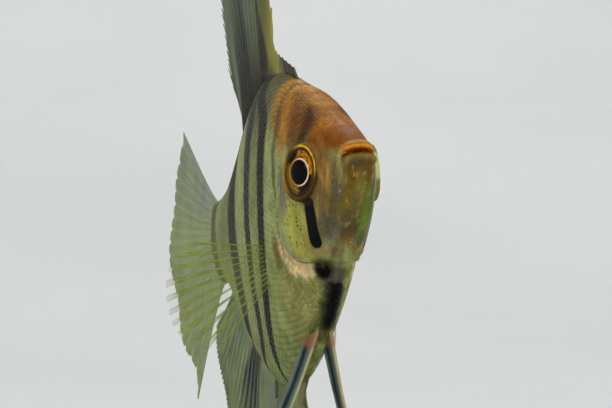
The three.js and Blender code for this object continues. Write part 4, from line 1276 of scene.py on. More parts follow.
@dataclass
class Skin:
    """One unbroken skin over the head, the gill covers, the trunk and the tail stalk."""

    form: FishForm
    voxel: float = 0.227 * MM
    spokes: int = 112  # of the body's sphere
    rings: int = 140
    crowding: float = 1.3  # how much closer its rings are at the snout
    lip_deep: float = 0.026
    lip_wide: float = 0.034
    lip_arc: float = 1.1 * math.pi
    upper_lip: Lip = Lip(0.006, 0.0885, 0.014, 0.0125)
    lower_lip: Lip = Lip(-0.001, 0.054, -0.002, 0.0135)
    gape: float = 0.3 * MM  # half the height of the gap between the lips
    gape_arc: float = 0.49  # its share of the lips' arc, on each side
    gape_middle: float = 0.045  # the station that it is drawn in towards
    gape_front: float = 1.4  # its size about there, at its front
    gape_taper: float = 1.2  # how much less it is at its rear
    rim_radius: float = 3.5 * MM
    rim_thickness: float = 0.42 * MM
    rim_out: float = 1.15 * MM
    nostril: Pair = (0.078, 0.118)
    nostril_radii: Triple = (0.42 * MM, 0.42 * MM, 0.45 * MM)
    seam: Profile = Profile(((0.0, 0.0718), (0.033, 0.0646)))  # the height where the lips meet, by station

    def core(self, bm: BMesh) -> None:
        """Adds the body itself: a sphere whose poles are the snout and the tail's root."""
        bmesh.ops.create_uvsphere(bm, u_segments=self.spokes, v_segments=self.rings, radius=1)
        for vert in bm.verts:
            share = math.acos(max(-1.0, min(1.0, vert.co.z))) / math.pi
            station = max(share - 0.5 / self.rings, 0) ** self.crowding
            at_pole = min(share, 1 - share) < 1e-6
            middle = self.form.place(station, WIDEST_LEVEL(station), 0.0)
            turn = math.atan2(vert.co.y, vert.co.x)
            vert.co = middle if at_pole else self.form.skin_point(station, turn)

    def lip_path(self, lip: Lip, turn: Array) -> tuple[Array, Array]:
        """A lip's middle line as rows of station, height and side, and its radius, in body lengths."""
        back = 1 - np.cos(turn)
        swell = np.sqrt(np.maximum(np.cos(turn / self.lip_arc * math.pi), 0))
        station, height = lip.front + self.lip_deep * back, lip.height - lip.drop * back
        line = np.column_stack([station, height, self.lip_wide * np.sin(turn)])
        return line, lip.radius * (0.5 + 0.5 * swell)

    def lip(self, bm: BMesh, lip: Lip) -> None:
        """Adds a lip: a round bar from one corner of the mouth to the other."""
        line, radii = self.lip_path(lip, np.linspace(-0.5, 0.5, 25) * self.lip_arc)
        sweep(bm, self.form.place(*line.T), radii * BODY_LENGTH, 14)

    def mouth_path(self, turn: Array) -> Array:
        """The line where the lips meet, as rows of station, height and side."""
        upper, above = self.lip_path(self.upper_lip, turn)
        lower, below = self.lip_path(self.lower_lip, turn)
        line = (upper + lower) / 2
        line[:, 1] = (upper[:, 1] - above + lower[:, 1] + below) / 2
        return line

    def orbit(self, bm: BMesh, seat: Matrix) -> None:
        """Adds the raised ring of skin that holds an eye."""
        before = set(bm.verts)
        upright = Matrix.Rotation(math.pi / 2, 4, "X")
        ring = bmesh.ops.create_circle(
            bm, segments=12, radius=self.rim_thickness,
            matrix=Matrix.Translation((self.rim_radius, 0, self.rim_out)) @ upright,
        )["verts"]
        edges = list(dict.fromkeys(edge for vert in ring for edge in vert.link_edges))
        spin(bm, ring + edges, 48)
        bmesh.ops.transform(bm, matrix=seat, verts=[vert for vert in bm.verts if vert not in before])

    def cutters(self) -> Object:
        """The gap between the lips and the two nostrils, as one mesh to cut with."""
        bm = bmesh.new()
        across, back, face = closed_grid(bm, 40, 8, 1.0)
        line = self.mouth_path(across * self.gape_arc * self.lip_arc)
        spread = self.gape_front - self.gape_taper * (back + 1) / 2
        station = self.gape_middle + (line[:, 0] - self.gape_middle) * spread
        height = line[:, 1] + face * self.gape / BODY_LENGTH * np.sqrt(np.maximum(1 - across**2, 0.01))
        move_verts(bm, self.form.place(station, height, line[:, 2] * spread))
        for sign in (1, -1):
            side = sign * float(self.form.side_at(*self.nostril))
            pit = Matrix.Translation(Vector(self.form.place(*self.nostril, side)))
            ellipsoid(bm, pit, self.nostril_radii)
        return as_object("cutters", bm)

    def fields(self, points: Array, seats: dict[int, Matrix]) -> dict[str, Array]:
        """How far points lie from the head's lines and from the eyes' middles, in millimetres, by name."""
        station, height, side = self.form.locate(points)
        places = np.column_stack([station, height, np.abs(side)])
        lines = {"gill": GILL_EDGE, "bar": CHEEK_BAR, "band": GILL_BAND, "jaw": JAW_FOLD}
        found = {name: line_field(places, surface_line(self.form, line)) for name, line in lines.items()}
        found["bar"] = np.abs(found["bar"])
        mouth = self.mouth_path(np.linspace(-0.5, 0.5, 33) * self.lip_arc)
        away = line_field(np.column_stack([station, height, side]), mouth)
        found["mouth"] = np.abs(away) * np.sign(height - self.seam(station))
        found["orbit"] = np.full(len(points), FAR)
        for seat in seats.values():
            local = (points - np.array(seat.translation)) @ np.array(seat.to_3x3())
            near = (local[:, 2] > -1.5 * MM) & (local[:, 2] < 3 * MM)
            reach = np.hypot(local[:, 0], local[:, 1]) / MM
            found["orbit"] = np.where(near, np.minimum(found["orbit"], reach), found["orbit"])
        return found

    def folds(self, points: Array, found: dict[str, Array]) -> Array:
        """How far the gill cover's edge, the folds and the lip's groove raise the skin, in millimetres."""
        _, height, side = self.form.locate(points)
        edge = found["gill"]
        on_cover = ease(0.15, 0.09, height) * ease(0.02, 0.045, np.abs(side))
        front = 1 / (1 + np.exp(np.clip(edge / 0.08, -40, 40)))
        cover = front * 0.4 * np.exp(-np.abs(edge) / 2.4) - (1 - front) * 0.32 * np.exp(-np.abs(edge) / 0.8)
        band, jaw, mouth, orbit = (found[name] for name in ("band", "jaw", "mouth", "orbit"))
        plate = 0.08 * bell(band, 0.0, 0.4) - 0.05 * bell(np.abs(band), 0.62, 0.18)
        crease = 0.05 * bell(jaw, -0.75, 0.4) - 0.1 * bell(jaw, 0.0, 0.25)
        groove = -0.13 * bell(mouth, 1.05, 0.17) - 0.1 * bell(orbit, 4.3, 0.3)
        return on_cover * cover + plate + crease + groove

    def build(self, material: Material, seats: dict[int, Matrix]) -> Object:
        """Builds and dresses the skin.

        Args:
            material: Its finish.
            seats: The seat of each eye, by its side's sign.

        Returns:
            The skin, which stands for the nodes of flesh.
        """
        bm = bmesh.new()
        self.core(bm)
        for lip in (self.upper_lip, self.lower_lip):
            self.lip(bm, lip)
        for seat in seats.values():
            self.orbit(bm, seat)
        skin = as_object("skin", bm)
        cutter = self.cutters()
        fuse = skin.modifiers.new("fuse", "REMESH")
        cut = skin.modifiers.new("cut", "BOOLEAN")
        cut.operation, cut.object, cut.solver = "DIFFERENCE", cutter, "EXACT"
        again = skin.modifiers.new("again", "REMESH")
        for remesh in (fuse, again):
            remesh.mode, remesh.voxel_size = "VOXEL", self.voxel
        settle(skin)
        bpy.data.objects.remove(cutter)
        bm = bmesh.new()
        bm.from_mesh(skin.data)
        for _ in range(3):
            bmesh.ops.smooth_vert(
                bm, verts=bm.verts, factor=0.5, use_axis_x=True, use_axis_y=True, use_axis_z=True,
            )
        bm.to_mesh(skin.data)
        bm.free()
        points = coordinates(skin.data)
        normals = np.empty(len(points) * 3, np.float32)
        skin.data.vertices.foreach_get("normal", normals)
        found = self.fields(points, seats)
        raised = self.folds(points, found) * MM
        set_coordinates(skin.data, points + normals.reshape(-1, 3) * raised[:, None])
        for name, values in found.items():
            point_attribute(skin.data, name, values)
        skin.data.shade_smooth()
        return deliver(
            skin, material,
            ("head", "lower_jaw", "trunk", "tail_stalk", "gill_cover_left", "gill_cover_right"),
        )


# -- the eyes
@dataclass
class Eye:
    """An eye: a domed lens in a ringed pupil, a dished iris and a rounded outer rim."""

    form: FishForm
    sign: int  # 1 is the fish's left eye
    radius: float = 3.4 * MM
    depth: float = 4.8 * MM
    outer: float = 0.114  # the side that the lens reaches
    turn: float = math.radians(13.0)  # how far the eye looks forwards
    gaze: float = math.radians(11.0)  # how much further the pupil does
    pupil: float = 1.62 * MM
    ring: float = 1.8 * MM
    iris: float = 2.9 * MM
    lens: float = 1.47 * MM  # how far out of the eye's middle the lens starts
    dome: float = 0.55 * MM  # how far it stands out from there

    @property
    def seat(self) -> Matrix:
        """The eye's own frame: Z looks out, X up, and Y forwards on the left and backwards on the right."""
        side = self.sign * (self.outer - self.depth / 2 / BODY_LENGTH)
        middle = Vector(self.form.place(*EYE_PLACE, side))
        pitch = Matrix.Rotation(-NOSE_UP, 3, "Y")
        out = pitch @ Vector((math.sin(self.turn), self.sign * math.cos(self.turn), 0.0))
        up = pitch @ Vector((0.0, 0.0, 1.0))
        axes = Matrix((up, out.cross(up), out)).transposed()
        return Matrix.Translation(middle) @ axes.to_4x4()

    def profile(self) -> Array:
        """The eye's half section as (radius, height) points, from the back to the lens."""
        reach = self.depth / 2
        back = np.linspace(-math.pi / 2, 0.18, 14)
        shell = [(self.radius * math.cos(a), reach * math.sin(a)) for a in back]
        rim = [
            (3.28 * MM, 0.98 * MM), (3.12 * MM, 1.3 * MM), (2.98 * MM, 1.4 * MM), (self.iris, 1.38 * MM),
            (2.75 * MM, 1.26 * MM), (2.4 * MM, 1.2 * MM), (2.1 * MM, 1.24 * MM), (1.92 * MM, 1.36 * MM),
            (self.ring, 1.5 * MM), (1.71 * MM, 1.56 * MM), (self.pupil, 1.5 * MM),
        ]
        lens = [
            (self.pupil * 0.985 * math.cos(a), self.lens + self.dome * math.sin(a))
            for a in np.linspace(0.12, math.pi / 2, 9)
        ]
        shell[0], lens[-1] = (0.0, -reach), (0.0, self.lens + self.dome)
        return np.array(shell + rim + lens)

    def build(self, material: Material) -> Object:
        """Builds and dresses the eye, which stands for its node."""
        label = LABELS[self.sign]
        bm = bmesh.new()
        lathe(bm, self.profile(), 72, Matrix.Identity(4))
        piece = as_object(f"eyeball_{label}", bm)
        local = coordinates(piece.data)
        up, ahead, out = local[:, 0], local[:, 1] * self.sign, local[:, 2]
        radius = np.hypot(up, ahead)
        for name, values in (("out", radius), ("up", up), ("ahead", ahead)):
            point_attribute(piece.data, name, values / self.radius)
        near = ease(2.8 * MM, 1.9 * MM, radius) * (out > 0)
        oval = 1 + 0.06 * near * np.cos(2 * (np.arctan2(ahead, up) + math.radians(20.0)))
        up, ahead = up * oval, ahead * oval
        pivot, angle = 1.2 * MM, self.gaze * near
        turned = ahead * np.cos(angle) + (out - pivot) * np.sin(angle)
        raised = pivot + (out - pivot) * np.cos(angle) - ahead * np.sin(angle)
        out = np.where(out > 0, np.minimum(raised, self.depth / 2), out)
        set_coordinates(piece.data, np.column_stack([up, turned * self.sign, out]))
        piece.data.transform(self.seat)
        return deliver(piece, material, (f"eye_{label}",))


# -- the scales
@dataclass
class ScaleCoat:
    """Small overlapping scales in rows along one side of the body, free edge to the tail."""

    form: FishForm
    sign: int
    seed: int = 7
    thickness: float = 0.035
    margin: float = 0.3 * MM  # the bare strip along the back's and the belly's ridge
    first: float = 0.075  # the station of the first row
    last: float = 0.985  # the rows end before this one
    beside: float = 1.12  # the step from scale to scale in a row, in half lengths of a scale
    behind: float = 0.86  # the step from row to row
    patch: float = 0.0015  # a half length on the unwrap
    size: Profile = Profile((  # a scale's half length in metres, by station
        (0.06, 0.00034), (0.15, 0.0004), (0.25, 0.0005), (0.34, 0.00074), (0.5, 0.00092), (0.8, 0.0008),
        (0.99, 0.0006),
    ))

    def template(self) -> tuple[Array, list[list[int]], Array]:
        """One scale about its middle, a unit long: its points, its faces and which faces are its walls."""
        bm = bmesh.new()
        disc = bmesh.ops.create_circle(bm, cap_ends=True, cap_tris=True, segments=9, radius=1)["verts"]
        for vert in disc:
            x, y = vert.co.x, vert.co.y
            rounder = 0.92 if x > 0 else 0.75
            dome = 0.09 * (1 - x * x - y * y)
            vert.co = (x * 1.05, y * 0.72 * (rounder if abs(y) > 0.9 else 1.0), dome + 0.06 * x)
        bmesh.ops.translate(bm, verts=doubled(bm), vec=(0, 0, -self.thickness))
        bmesh.ops.recalc_face_normals(bm, faces=bm.faces)
        bm.verts.index_update()
        points = np.array([vert.co for vert in bm.verts])
        faces = [[vert.index for vert in face.verts] for face in bm.faces]
        walls = np.array([len(face) == 4 for face in faces])
        bm.free()
        return points, faces, walls

    def seats(self) -> Array:
        """Where the scales go: a row of their stations, one of their turns and one of their sizes."""
        turns = np.linspace(0.0, math.pi, 241)
        found = []
        station, shift = self.first, 0.0
        while station < self.last:
            size = float(self.size(station))
            ring = self.form.skin_point(np.full(turns.shape, station), turns * self.sign)
            arc = np.r_[0, np.cumsum(np.linalg.norm(np.diff(ring, axis=0), axis=1))]
            middle = arc[len(arc) // 2]
            across = size * self.beside
            first = math.ceil((self.margin - middle) / across - shift)
            last = math.floor((arc[-1] - self.margin - middle) / across - shift)
            offsets = (np.arange(first, last + 1) + shift) * across + middle
            for turn in np.interp(offsets, arc, turns):
                found.append((station, turn * self.sign, size))
            station += size * self.behind / BODY_LENGTH
            shift = 0.5 - shift
        seats = np.array(found).T
        _, height, _ = self.form.locate(self.form.skin_point(seats[0], seats[1]))
        return seats[:, self.covered(seats[0], height)]

    def covered(self, station: Array, height: Array) -> Array:
        """Which places carry scales: all behind the gill cover, and the nape in front of it."""
        places = np.column_stack([station, height, self.form.side_at(station, height)])
        gap = Profile(((-0.1, 1.1), (0.0, 0.7), (0.08, 0.4)))(height)
        behind = line_field(places, surface_line(self.form, GILL_EDGE)) > gap
        above = Profile(((0.07, 0.2), (0.1, 0.165), (0.14, 0.155), (0.2, 0.14), (0.24, 0.12), (0.27, 0.1)))
        return np.where(height > 0.1, height > above(station), behind)

    def build(self, material: Material) -> Object:
        """Builds and dresses the scales of one side."""
        rng = np.random.default_rng(self.seed + self.sign)
        stations, turns, sizes = self.seats()
        count = len(stations)
        skin, flank = self.form.skin_point, ease(0.26, 0.38, stations)
        loose = 0.3 * (1 - 0.8 * flank) * sizes / BODY_LENGTH
        points = skin(stations + loose * (rng.random(count) - 0.5) * 2, turns)
        nudge, twist = 0.004, 0.02  # small steps over the skin, as a station and a turn
        back = unit(skin(np.minimum(stations + nudge, 1.0), turns) - skin(stations - nudge, turns))
        normal = unit(np.cross(skin(stations, turns + twist) - skin(stations, turns - twist), back))
        outwards = points - self.form.place(stations, WIDEST_LEVEL(stations), 0.0)
        normal *= np.sign(np.einsum("ij,ij->i", normal, outwards))[:, None]
        across = np.cross(normal, back)
        shape, faces, walls = self.template()
        tones = rng.random(count)
        long = sizes * (0.98 + 0.08 * rng.random(count))
        lean = (rng.random(count) - 0.5) * 0.12
        x = shape[None, :, 0] - lean[:, None] * shape[None, :, 1]
        y = shape[None, :, 1] + lean[:, None] * shape[None, :, 0]
        z = shape[None, :, 2] * (0.35 + 0.65 * flank)[:, None]
        placed = points[:, None] + long[:, None, None] * (
            x[..., None] * back[:, None] + y[..., None] * across[:, None] + z[..., None] * normal[:, None]
        )
        offsets = np.arange(count) * len(shape)
        all_faces = [[i + offset for i in face] for offset in offsets for face in faces]
        mesh = bpy.data.meshes.new(f"scales_{LABELS[self.sign]}")
        mesh.from_pydata(placed.reshape(-1, 3), [], all_faces)
        mesh.shade_smooth()
        mesh.attributes.new("sharp_face", "BOOLEAN", "FACE").data.foreach_set("value", np.tile(walls, count))
        point_attribute(mesh, "tone", np.repeat(tones, len(shape)))
        point_attribute(mesh, "reach", np.tile(shape[:, 0], count))
        self.unwrap(mesh, stations, turns, shape)
        return deliver(linked(mesh.name, mesh), material)

    def unwrap(self, mesh: Mesh, stations: Array, turns: Array, shape: Array) -> None:
        """Gives each scale a small patch at its root's place on the body's own unwrap."""
        u = stations[:, None] * 0.9 + 0.05 + shape[None, :, 0] * self.patch
        v = turns[:, None] / (2 * math.pi) + 0.5 + shape[None, :, 1] * self.patch
        places = np.stack([u.ravel(), v.ravel()], -1)
        corners = np.empty(len(mesh.loops), np.int32)
        mesh.loops.foreach_get("vertex_index", corners)
        layer = mesh.uv_layers.new(name="OFBake")
        layer.uv.foreach_set("vector", places[corners].astype(np.float32).ravel())


# -- the fins
@dataclass
class RayedFin:
    """A fin as one closed sheet: a thin membrane with its rays as ridges on both faces."""

    name: str
    node: str
    slot: str
    rays: Array  # where the rays lie across the fin, from 0 to 1
    spines: int  # how many of them don't branch, counted from the first
    surface: Sheet
    columns: int = 240
    rows: int = 56
    membrane: float = 0.11 * MM
    ray_height: float = 0.30 * MM
    fringe: float = 0.05  # how far the membrane draws in between the ray tips
    swell: float = 0.35 * MM  # the fleshy root
    ripple: Triple = (0.0, 3.0, 0.0)  # metres at the edge, waves across, phase
    ray_width: float = 0.15  # a soft ray's width at its root, as a share of the gap between two
    parting: float = 1.0  # how far a soft ray's branches part
    feather: float = 0.0  # how much deeper the edge is cut between the rear rays' branches

    def ridges(self, across: Array, along: Array) -> Array:
        """How high the rays stand, from 0 to 1: a soft ray parts in two, and again near its tip."""
        gap = 1 / (len(self.rays) - 1)
        best = np.zeros(across.shape)
        for i, middle in enumerate(self.rays):
            near = np.abs(across - middle) < gap
            a, t = across[near], along[near]
            value = best[near]
            if i < self.spines:
                value = np.maximum(value, bell(a, middle, gap * 0.2))
            else:
                first = gap * 0.22 * self.parting * ease(0.35, 0.8, t)
                second = gap * 0.11 * self.parting * ease(0.68, 1.0, t)
                wide = gap * self.ray_width * (1 - 0.47 * ease(0.3, 0.9, t))
                for one in (-1, 1):
                    for two in (-1, 1):
                        value = np.maximum(value, bell(a, middle + one * first + two * second, wide))
            best[near] = value
        return best

    def build(self, material: Material) -> Object:
        """Builds and dresses the fin, which stands for its node."""
        bm = bmesh.new()
        x, y, face = closed_grid(bm, self.columns, self.rows, 0.5)
        across, along = x + 0.5, y + 0.5
        ridge = self.ridges(across, along)
        tip = self.ridges(across, np.ones(len(across)))
        comb = self.feather * ease(0.6, 0.78, across) * np.abs(2 * (across * 2 * len(self.rays) % 1) - 1)
        t = along * (1 - (self.fringe * (1 - tip) + comb) * along**2)
        middle = self.surface(across, t)
        step = 1e-3
        over = self.surface(np.minimum(across + step, 1), t) - self.surface(np.maximum(across - step, 0), t)
        out = self.surface(across, np.minimum(t + step, 1)) - self.surface(across, np.maximum(t - step, 0))
        length = np.linalg.norm(middle - self.surface(across, np.zeros(len(across))), axis=1)
        half = self.membrane / 2 + self.ray_height / 2 * ridge * (1 - 0.75 * along)
        half += self.swell * bell(length, 0.0, 2.6 * MM)
        high, waves, phase = self.ripple
        wave = high * t**2 * np.sin(2 * math.pi * waves * across + phase + 2.2 * t)
        move_verts(bm, middle + unit(np.cross(over, out)) * (face * half + wave)[:, None])
        piece = as_object(self.name, bm)
        for name, values in (("ray", ridge), ("across", across), ("along", along)):
            point_attribute(piece.data, name, values)
        return deliver(piece, material, (self.node,))


def bent_ray(root: Array, tip: Array, bow: Array, t: Array) -> Array:
    """Points of rays that leave their roots, bow by a vector at their middle and end at their tips."""
    middle = (root + tip) / 2 + bow
    t = t[..., None]
    return (1 - t) ** 2 * root + 2 * t * (1 - t) * middle + t * t * tip


def columns_of(table: Points) -> list[Profile]:
    """The columns of a table of ray tips as smooth lines over its first column."""
    return [Profile(tuple((row[0], row[k]) for row in table)) for k in range(1, len(table[0]))]


@dataclass
class FinPlans:
    """The outlines and the rays of the seven fins."""

    form: FishForm
    dorsal: Points = (
        (0.0, 0.345, 0.386, 0.0), (0.1, 0.4, 0.428, 0.0), (0.17, 0.45, 0.461, 0.002),
        (0.23, 0.482, 0.492, 0.007), (0.28, 0.491, 0.54, 0.013), (0.33, 0.491, 0.6, 0.016),
        (0.39, 0.5, 0.69, 0.018), (0.46, 0.54, 0.83, 0.02), (0.53, 0.66, 1.01, 0.022),
        (0.58, 0.8, 1.12, 0.025), (0.64, 0.84, 0.93, 0.018), (0.72, 0.855, 0.74, 0.01),
        (0.8, 0.85, 0.585, 0.012), (0.88, 0.835, 0.455, 0.03), (0.92, 0.83, 0.39, 0.038),
        (0.96, 0.85, 0.335, 0.04), (1.0, 0.9, 0.255, 0.035),
    )
    anal: Points = (
        (0.0, 0.475, -0.445, 0.0), (0.1, 0.505, -0.48, 0.0), (0.2, 0.53, -0.54, 0.0),
        (0.3, 0.555, -0.63, 0.0), (0.4, 0.6, -0.79, -0.005), (0.5, 0.7, -0.98, -0.015),
        (0.57, 0.85, -1.12, -0.025), (0.63, 0.9, -0.95, -0.03), (0.71, 0.92, -0.77, -0.035),
        (0.79, 0.935, -0.59, -0.045), (0.87, 0.945, -0.42, -0.05), (0.94, 0.95, -0.28, -0.045),
        (1.0, 0.955, -0.16, -0.035),
    )
    tail: Points = (
        (0.0, 1.2, 0.465, -0.01), (0.07, 1.225, 0.39, -0.015), (0.2, 1.29, 0.3, -0.02),
        (0.35, 1.347, 0.2, -0.025), (0.5, 1.366, 0.085, -0.025), (0.65, 1.356, -0.035, -0.02),
        (0.8, 1.33, -0.15, -0.015), (0.93, 1.29, -0.24, -0.005), (1.0, 1.31, -0.32, 0.0),
    )
    pectoral: Points = (
        (0.0, 0.6, 0.0, 0.235), (0.2, 0.65, -0.06, 0.265), (0.4, 0.665, -0.135, 0.28),
        (0.6, 0.635, -0.205, 0.275), (0.8, 0.58, -0.265, 0.25), (1.0, 0.51, -0.3, 0.205),
    )
    pelvic: Points = (
        (0.0, 0.312, -0.275, 0.012), (0.2, 0.376, -0.4, 0.05), (0.4, 0.46, -0.55, 0.1),
        (0.6, 0.56, -0.7, 0.13), (0.8, 0.675, -0.85, 0.136), (1.0, 0.8, -0.98, 0.125),
    )
    sway: Profile = Profile(((0.0, 0.0), (0.66, 0.0), (0.84, 0.05), (1.0, 0.03)))
    tail_root: Pair = (0.082, 0.096)  # the height of its middle, and half its own height
    pectoral_top: Pair = (0.375, -0.065)
    pectoral_bottom: Pair = (0.393, -0.125)
    left_fold: float = math.radians(31.0)  # the left pectoral fin is folded back
    pelvic_chord: Pair = (0.05, 0.02)
    pelvic_lean: Triple = (0.85, 0.35, 0.25)
    pelvic_taper: float = 0.16

    def midline(self, table: Points, start: float, end: float, edge: Profile, sway: Profile) -> Sheet:
        """The sheet of the dorsal or the anal fin.

        Args:
            table: The tips of its rays: place across the fin, station, height and side.
            start: The station of its first ray's root.
            end: The station of its last ray's root.
            edge: The ridge that it stands on, the back's or the belly's.
            sway: How far the rays' middles are pulled to the left, by place across.

        Returns:
            The sheet.
        """
        way = 1 if edge is BACK else -1
        station, height, side = columns_of(table)

        def surface(across: Array, along: Array) -> Array:
            """Points of the fin."""
            foot = start + (end - start) * across
            line = edge(foot)
            root = self.form.place(foot, line - way * SINK, 0.0)
            tip = self.form.place(station(across), height(across), side(across))
            bow = 0.1 * np.minimum(1, 2 * np.abs(height(across) - line))
            reach = (bow * np.linalg.norm(tip - root, axis=-1))[..., None]
            forwards = self.form.way(-0.928, way * 0.371)
            left = sway(across)[..., None] * np.array([0.0, BODY_LENGTH, 0.0])
            return bent_ray(root, tip, reach * forwards / BODY_LENGTH + left, along)

        return surface

    def tail_sheet(self, across: Array, along: Array) -> Array:
        """Points of the tail fin."""
        station, height, side = columns_of(self.tail)
        rise = self.tail_root[1] * (1 - 2 * across)
        root = self.form.place(1 - SINK, self.tail_root[0] + rise, 0.0)
        tip = self.form.place(station(across), height(across), side(across))
        reach = 0.05 * np.linalg.norm(tip - root, axis=-1) * np.clip(rise / 0.03, -1, 1)
        return bent_ray(root, tip, reach[..., None] * self.form.way(0.0, -1.0) / BODY_LENGTH, along)

    def pectoral_sheet(self, sign: int) -> Sheet:
        """The sheet of a pectoral fin."""
        fold = self.left_fold if sign > 0 else 0.0
        tip_station, tip_height, tip_side = columns_of(self.pectoral)

        def surface(across: Array, along: Array) -> Array:
            """Points of the fin."""
            station = self.pectoral_top[0] + (self.pectoral_bottom[0] - self.pectoral_top[0]) * across
            height = self.pectoral_top[1] + (self.pectoral_bottom[1] - self.pectoral_top[1]) * across
            side = sign * (self.form.side_at(station, height) - SINK)
            back = tip_station(across) - station
            out = sign * tip_side(across) - side
            turned_back = back * math.cos(fold) + out * math.sin(fold)
            turned_out = out * math.cos(fold) - back * math.sin(fold)
            root = self.form.place(station, height, side)
            tip = self.form.place(station + turned_back, tip_height(across), side + turned_out)
            reach = 0.06 * np.linalg.norm(tip - root, axis=-1)
            return bent_ray(root, tip, reach[..., None] * np.array([0.0, sign, 0.0]), along)

        return surface

    def pelvic_sheet(self, sign: int) -> Sheet:
        """The sheet of a pelvic fin."""
        path_station, path_height, path_side = columns_of(self.pelvic)

        def surface(across: Array, along: Array) -> Array:
            """Points of the fin."""
            wide, narrow = self.pelvic_chord
            chord = across * (wide + (narrow - wide) * np.sqrt(along))
            back, up, right = self.pelvic_lean
            top = self.pelvic[0][2]
            height = top + (path_height(along) - top) * (1 - self.pelvic_taper * across * along)
            return self.form.place(
                path_station(along) + chord * back, height + chord * up,
                sign * path_side(along) - chord * right,
            )

        return surface

    def all(self) -> list[tuple[RayedFin, FinKind]]:
        """The seven fins, with how each is coloured."""
        dorsal_rays = np.r_[np.linspace(0.0, 0.4, 12), np.linspace(0.425, 1.0, 29)]
        anal_rays = np.r_[np.linspace(0.0, 0.26, 7), np.linspace(0.29, 1.0, 31)]
        straight = Profile(((0.0, 0.0), (1.0, 0.0)))
        fins = [
            (RayedFin(
                "dorsal", "dorsal_fin", "fin", dorsal_rays, 12,
                self.midline(self.dorsal, 0.315, 0.885, BACK, self.sway), 330, 60,
                ray_height=0.22 * MM, fringe=0.07, feather=0.3, ripple=(0.15 * MM, 4.0, 0.6),
            ), FinKind.DORSAL),
            (RayedFin(
                "anal", "anal_fin", "fin", anal_rays, 7,
                self.midline(self.anal, 0.43, 0.885, BELLY, straight), 310, 60,
                ray_height=0.18 * MM, ripple=(0.8 * MM, 5.0, 0.0),
            ), FinKind.ANAL),
            (RayedFin(
                "tail", "tail_fin", "clear_fin", np.linspace(0, 1, 20), 1, self.tail_sheet, 220, 48,
                ray_height=0.12 * MM, fringe=0.03, ripple=(0.3 * MM, 3.0, 0.4), parting=0.8,
            ), FinKind.TAIL),
        ]
        for sign, label in LABELS.items():
            fins.append((RayedFin(
                f"pectoral_{label}", f"pectoral_fin_{label}", "clear_fin", np.linspace(0, 1, 11), 1,
                self.pectoral_sheet(sign), 170, 40, ray_height=0.16 * MM, fringe=0.02, swell=0.2 * MM,
                ripple=(0.3 * MM, 2.0, 0.0), ray_width=0.09, parting=0.55,
            ), FinKind.PECTORAL))
            fins.append((RayedFin(
                f"pelvic_{label}", f"pelvic_fin_{label}", "pelvic_fin", np.linspace(0, 1, 7), 1,
                self.pelvic_sheet(sign), 60, 110, ray_height=0.4 * MM, fringe=0.06, swell=0.1 * MM,
            ), FinKind.PELVIC))
        return fins


# -- the stand
@dataclass
class Stand:
    """A turned oval base and the bent steel rod that holds the fish."""

    form: FishForm
    length: float = 76 * MM
    width: float = 46 * MM
    height: float = 7 * MM
    bevel: float = 1.2 * MM
    rod_radius: float = 1.1 * MM
    bend: float = 2.4 * MM
    rod_station: float = 0.76
    rod_side: float = 0.085
    rod_height: float = -0.1

    def base(self, material: Material) -> Object:
        """Builds the base: an oval plate with rounded edges and a shallow groove."""
        bm = bmesh.new()
        bmesh.ops.create_circle(
            bm, cap_ends=True, segments=144, radius=0.5,
            matrix=Matrix.Diagonal((self.length, self.width, 1, 1)),
        )
        top = doubled(bm)
        bmesh.ops.translate(bm, verts=top, vec=(0, 0, self.height))
        rims = [e for e in bm.edges if (e.verts[0] in top) == (e.verts[1] in top)]
        bmesh.ops.bevel(
            bm, geom=rims, offset=self.bevel, offset_type="OFFSET", segments=5, profile=0.5,
            affect="EDGES", material=-1,
        )
        plates = [face for face in bm.faces if len(face.verts) > 8]
        caps = [face for face in plates if face.calc_center_median().z > self.height / 2]
        for inwards, up in ((2.2 * MM, 0.0), (0.3 * MM, -0.25 * MM), (0.3 * MM, 0.25 * MM)):
            bmesh.ops.inset_region(bm, faces=caps, thickness=inwards, depth=up)
        return deliver(as_object("base_plate", bm), material, ("stand_base",))

    def rod_path(self) -> Array:
        """The rod's middle line: up from the base, round the bend and into the flank."""
        entry = self.form.place(self.rod_station, self.rod_height, 0.0)
        side = self.rod_side * BODY_LENGTH
        foot = np.array([entry[0], side, self.height - 1 * MM])
        start = np.array([entry[0], side, entry[2] - self.bend])
        turn = np.linspace(0, math.pi / 2, 13)
        arc = np.stack([
            np.full(13, entry[0]), side - self.bend * (1 - np.cos(turn)),
            entry[2] - self.bend * (1 - np.sin(turn)),
        ], -1)
        end = np.array([entry[0], 0.3 * MM, entry[2]])
        rise = foot + (start - foot) * np.linspace(0, 1, 12)[:-1, None]
        return np.concatenate([rise, arc, [end]])

    def rod(self, material: Material) -> Object:
        """Builds the rod."""
        bm = bmesh.new()
        path = self.rod_path()
        sweep(bm, path, np.full(len(path), self.rod_radius), 28)
        return deliver(as_object("rod", bm), material, ("stand_rod",))

    def collar(self, material: Material) -> Object:
        """Builds the small turned collar round the rod's foot."""
        foot = self.rod_path()[0]
        low, high = self.height - 0.2 * MM, self.height + 1.6 * MM
        profile = np.array([
            (self.rod_radius * 0.9, low), (2.7 * MM, low), (2.7 * MM, self.height + 0.5 * MM),
            (2.4 * MM, self.height + 0.8 * MM), (1.9 * MM, self.height + 1.0 * MM), (1.6 * MM, high),
            (self.rod_radius * 0.9, high), (self.rod_radius * 0.9, low),
        ])
        bm = bmesh.new()
        lathe(bm, profile, 48, Matrix.Translation((foot[0], foot[1], 0)))
        return deliver(as_object("rod_collar", bm, smooth=False), material)


# -- the studio
def look_at(piece: Object, target: Vector) -> None:
    """Turns a camera or a lamp to a target."""
    piece.rotation_euler = (target - piece.location).to_track_quat("-Z", "Y").to_euler()


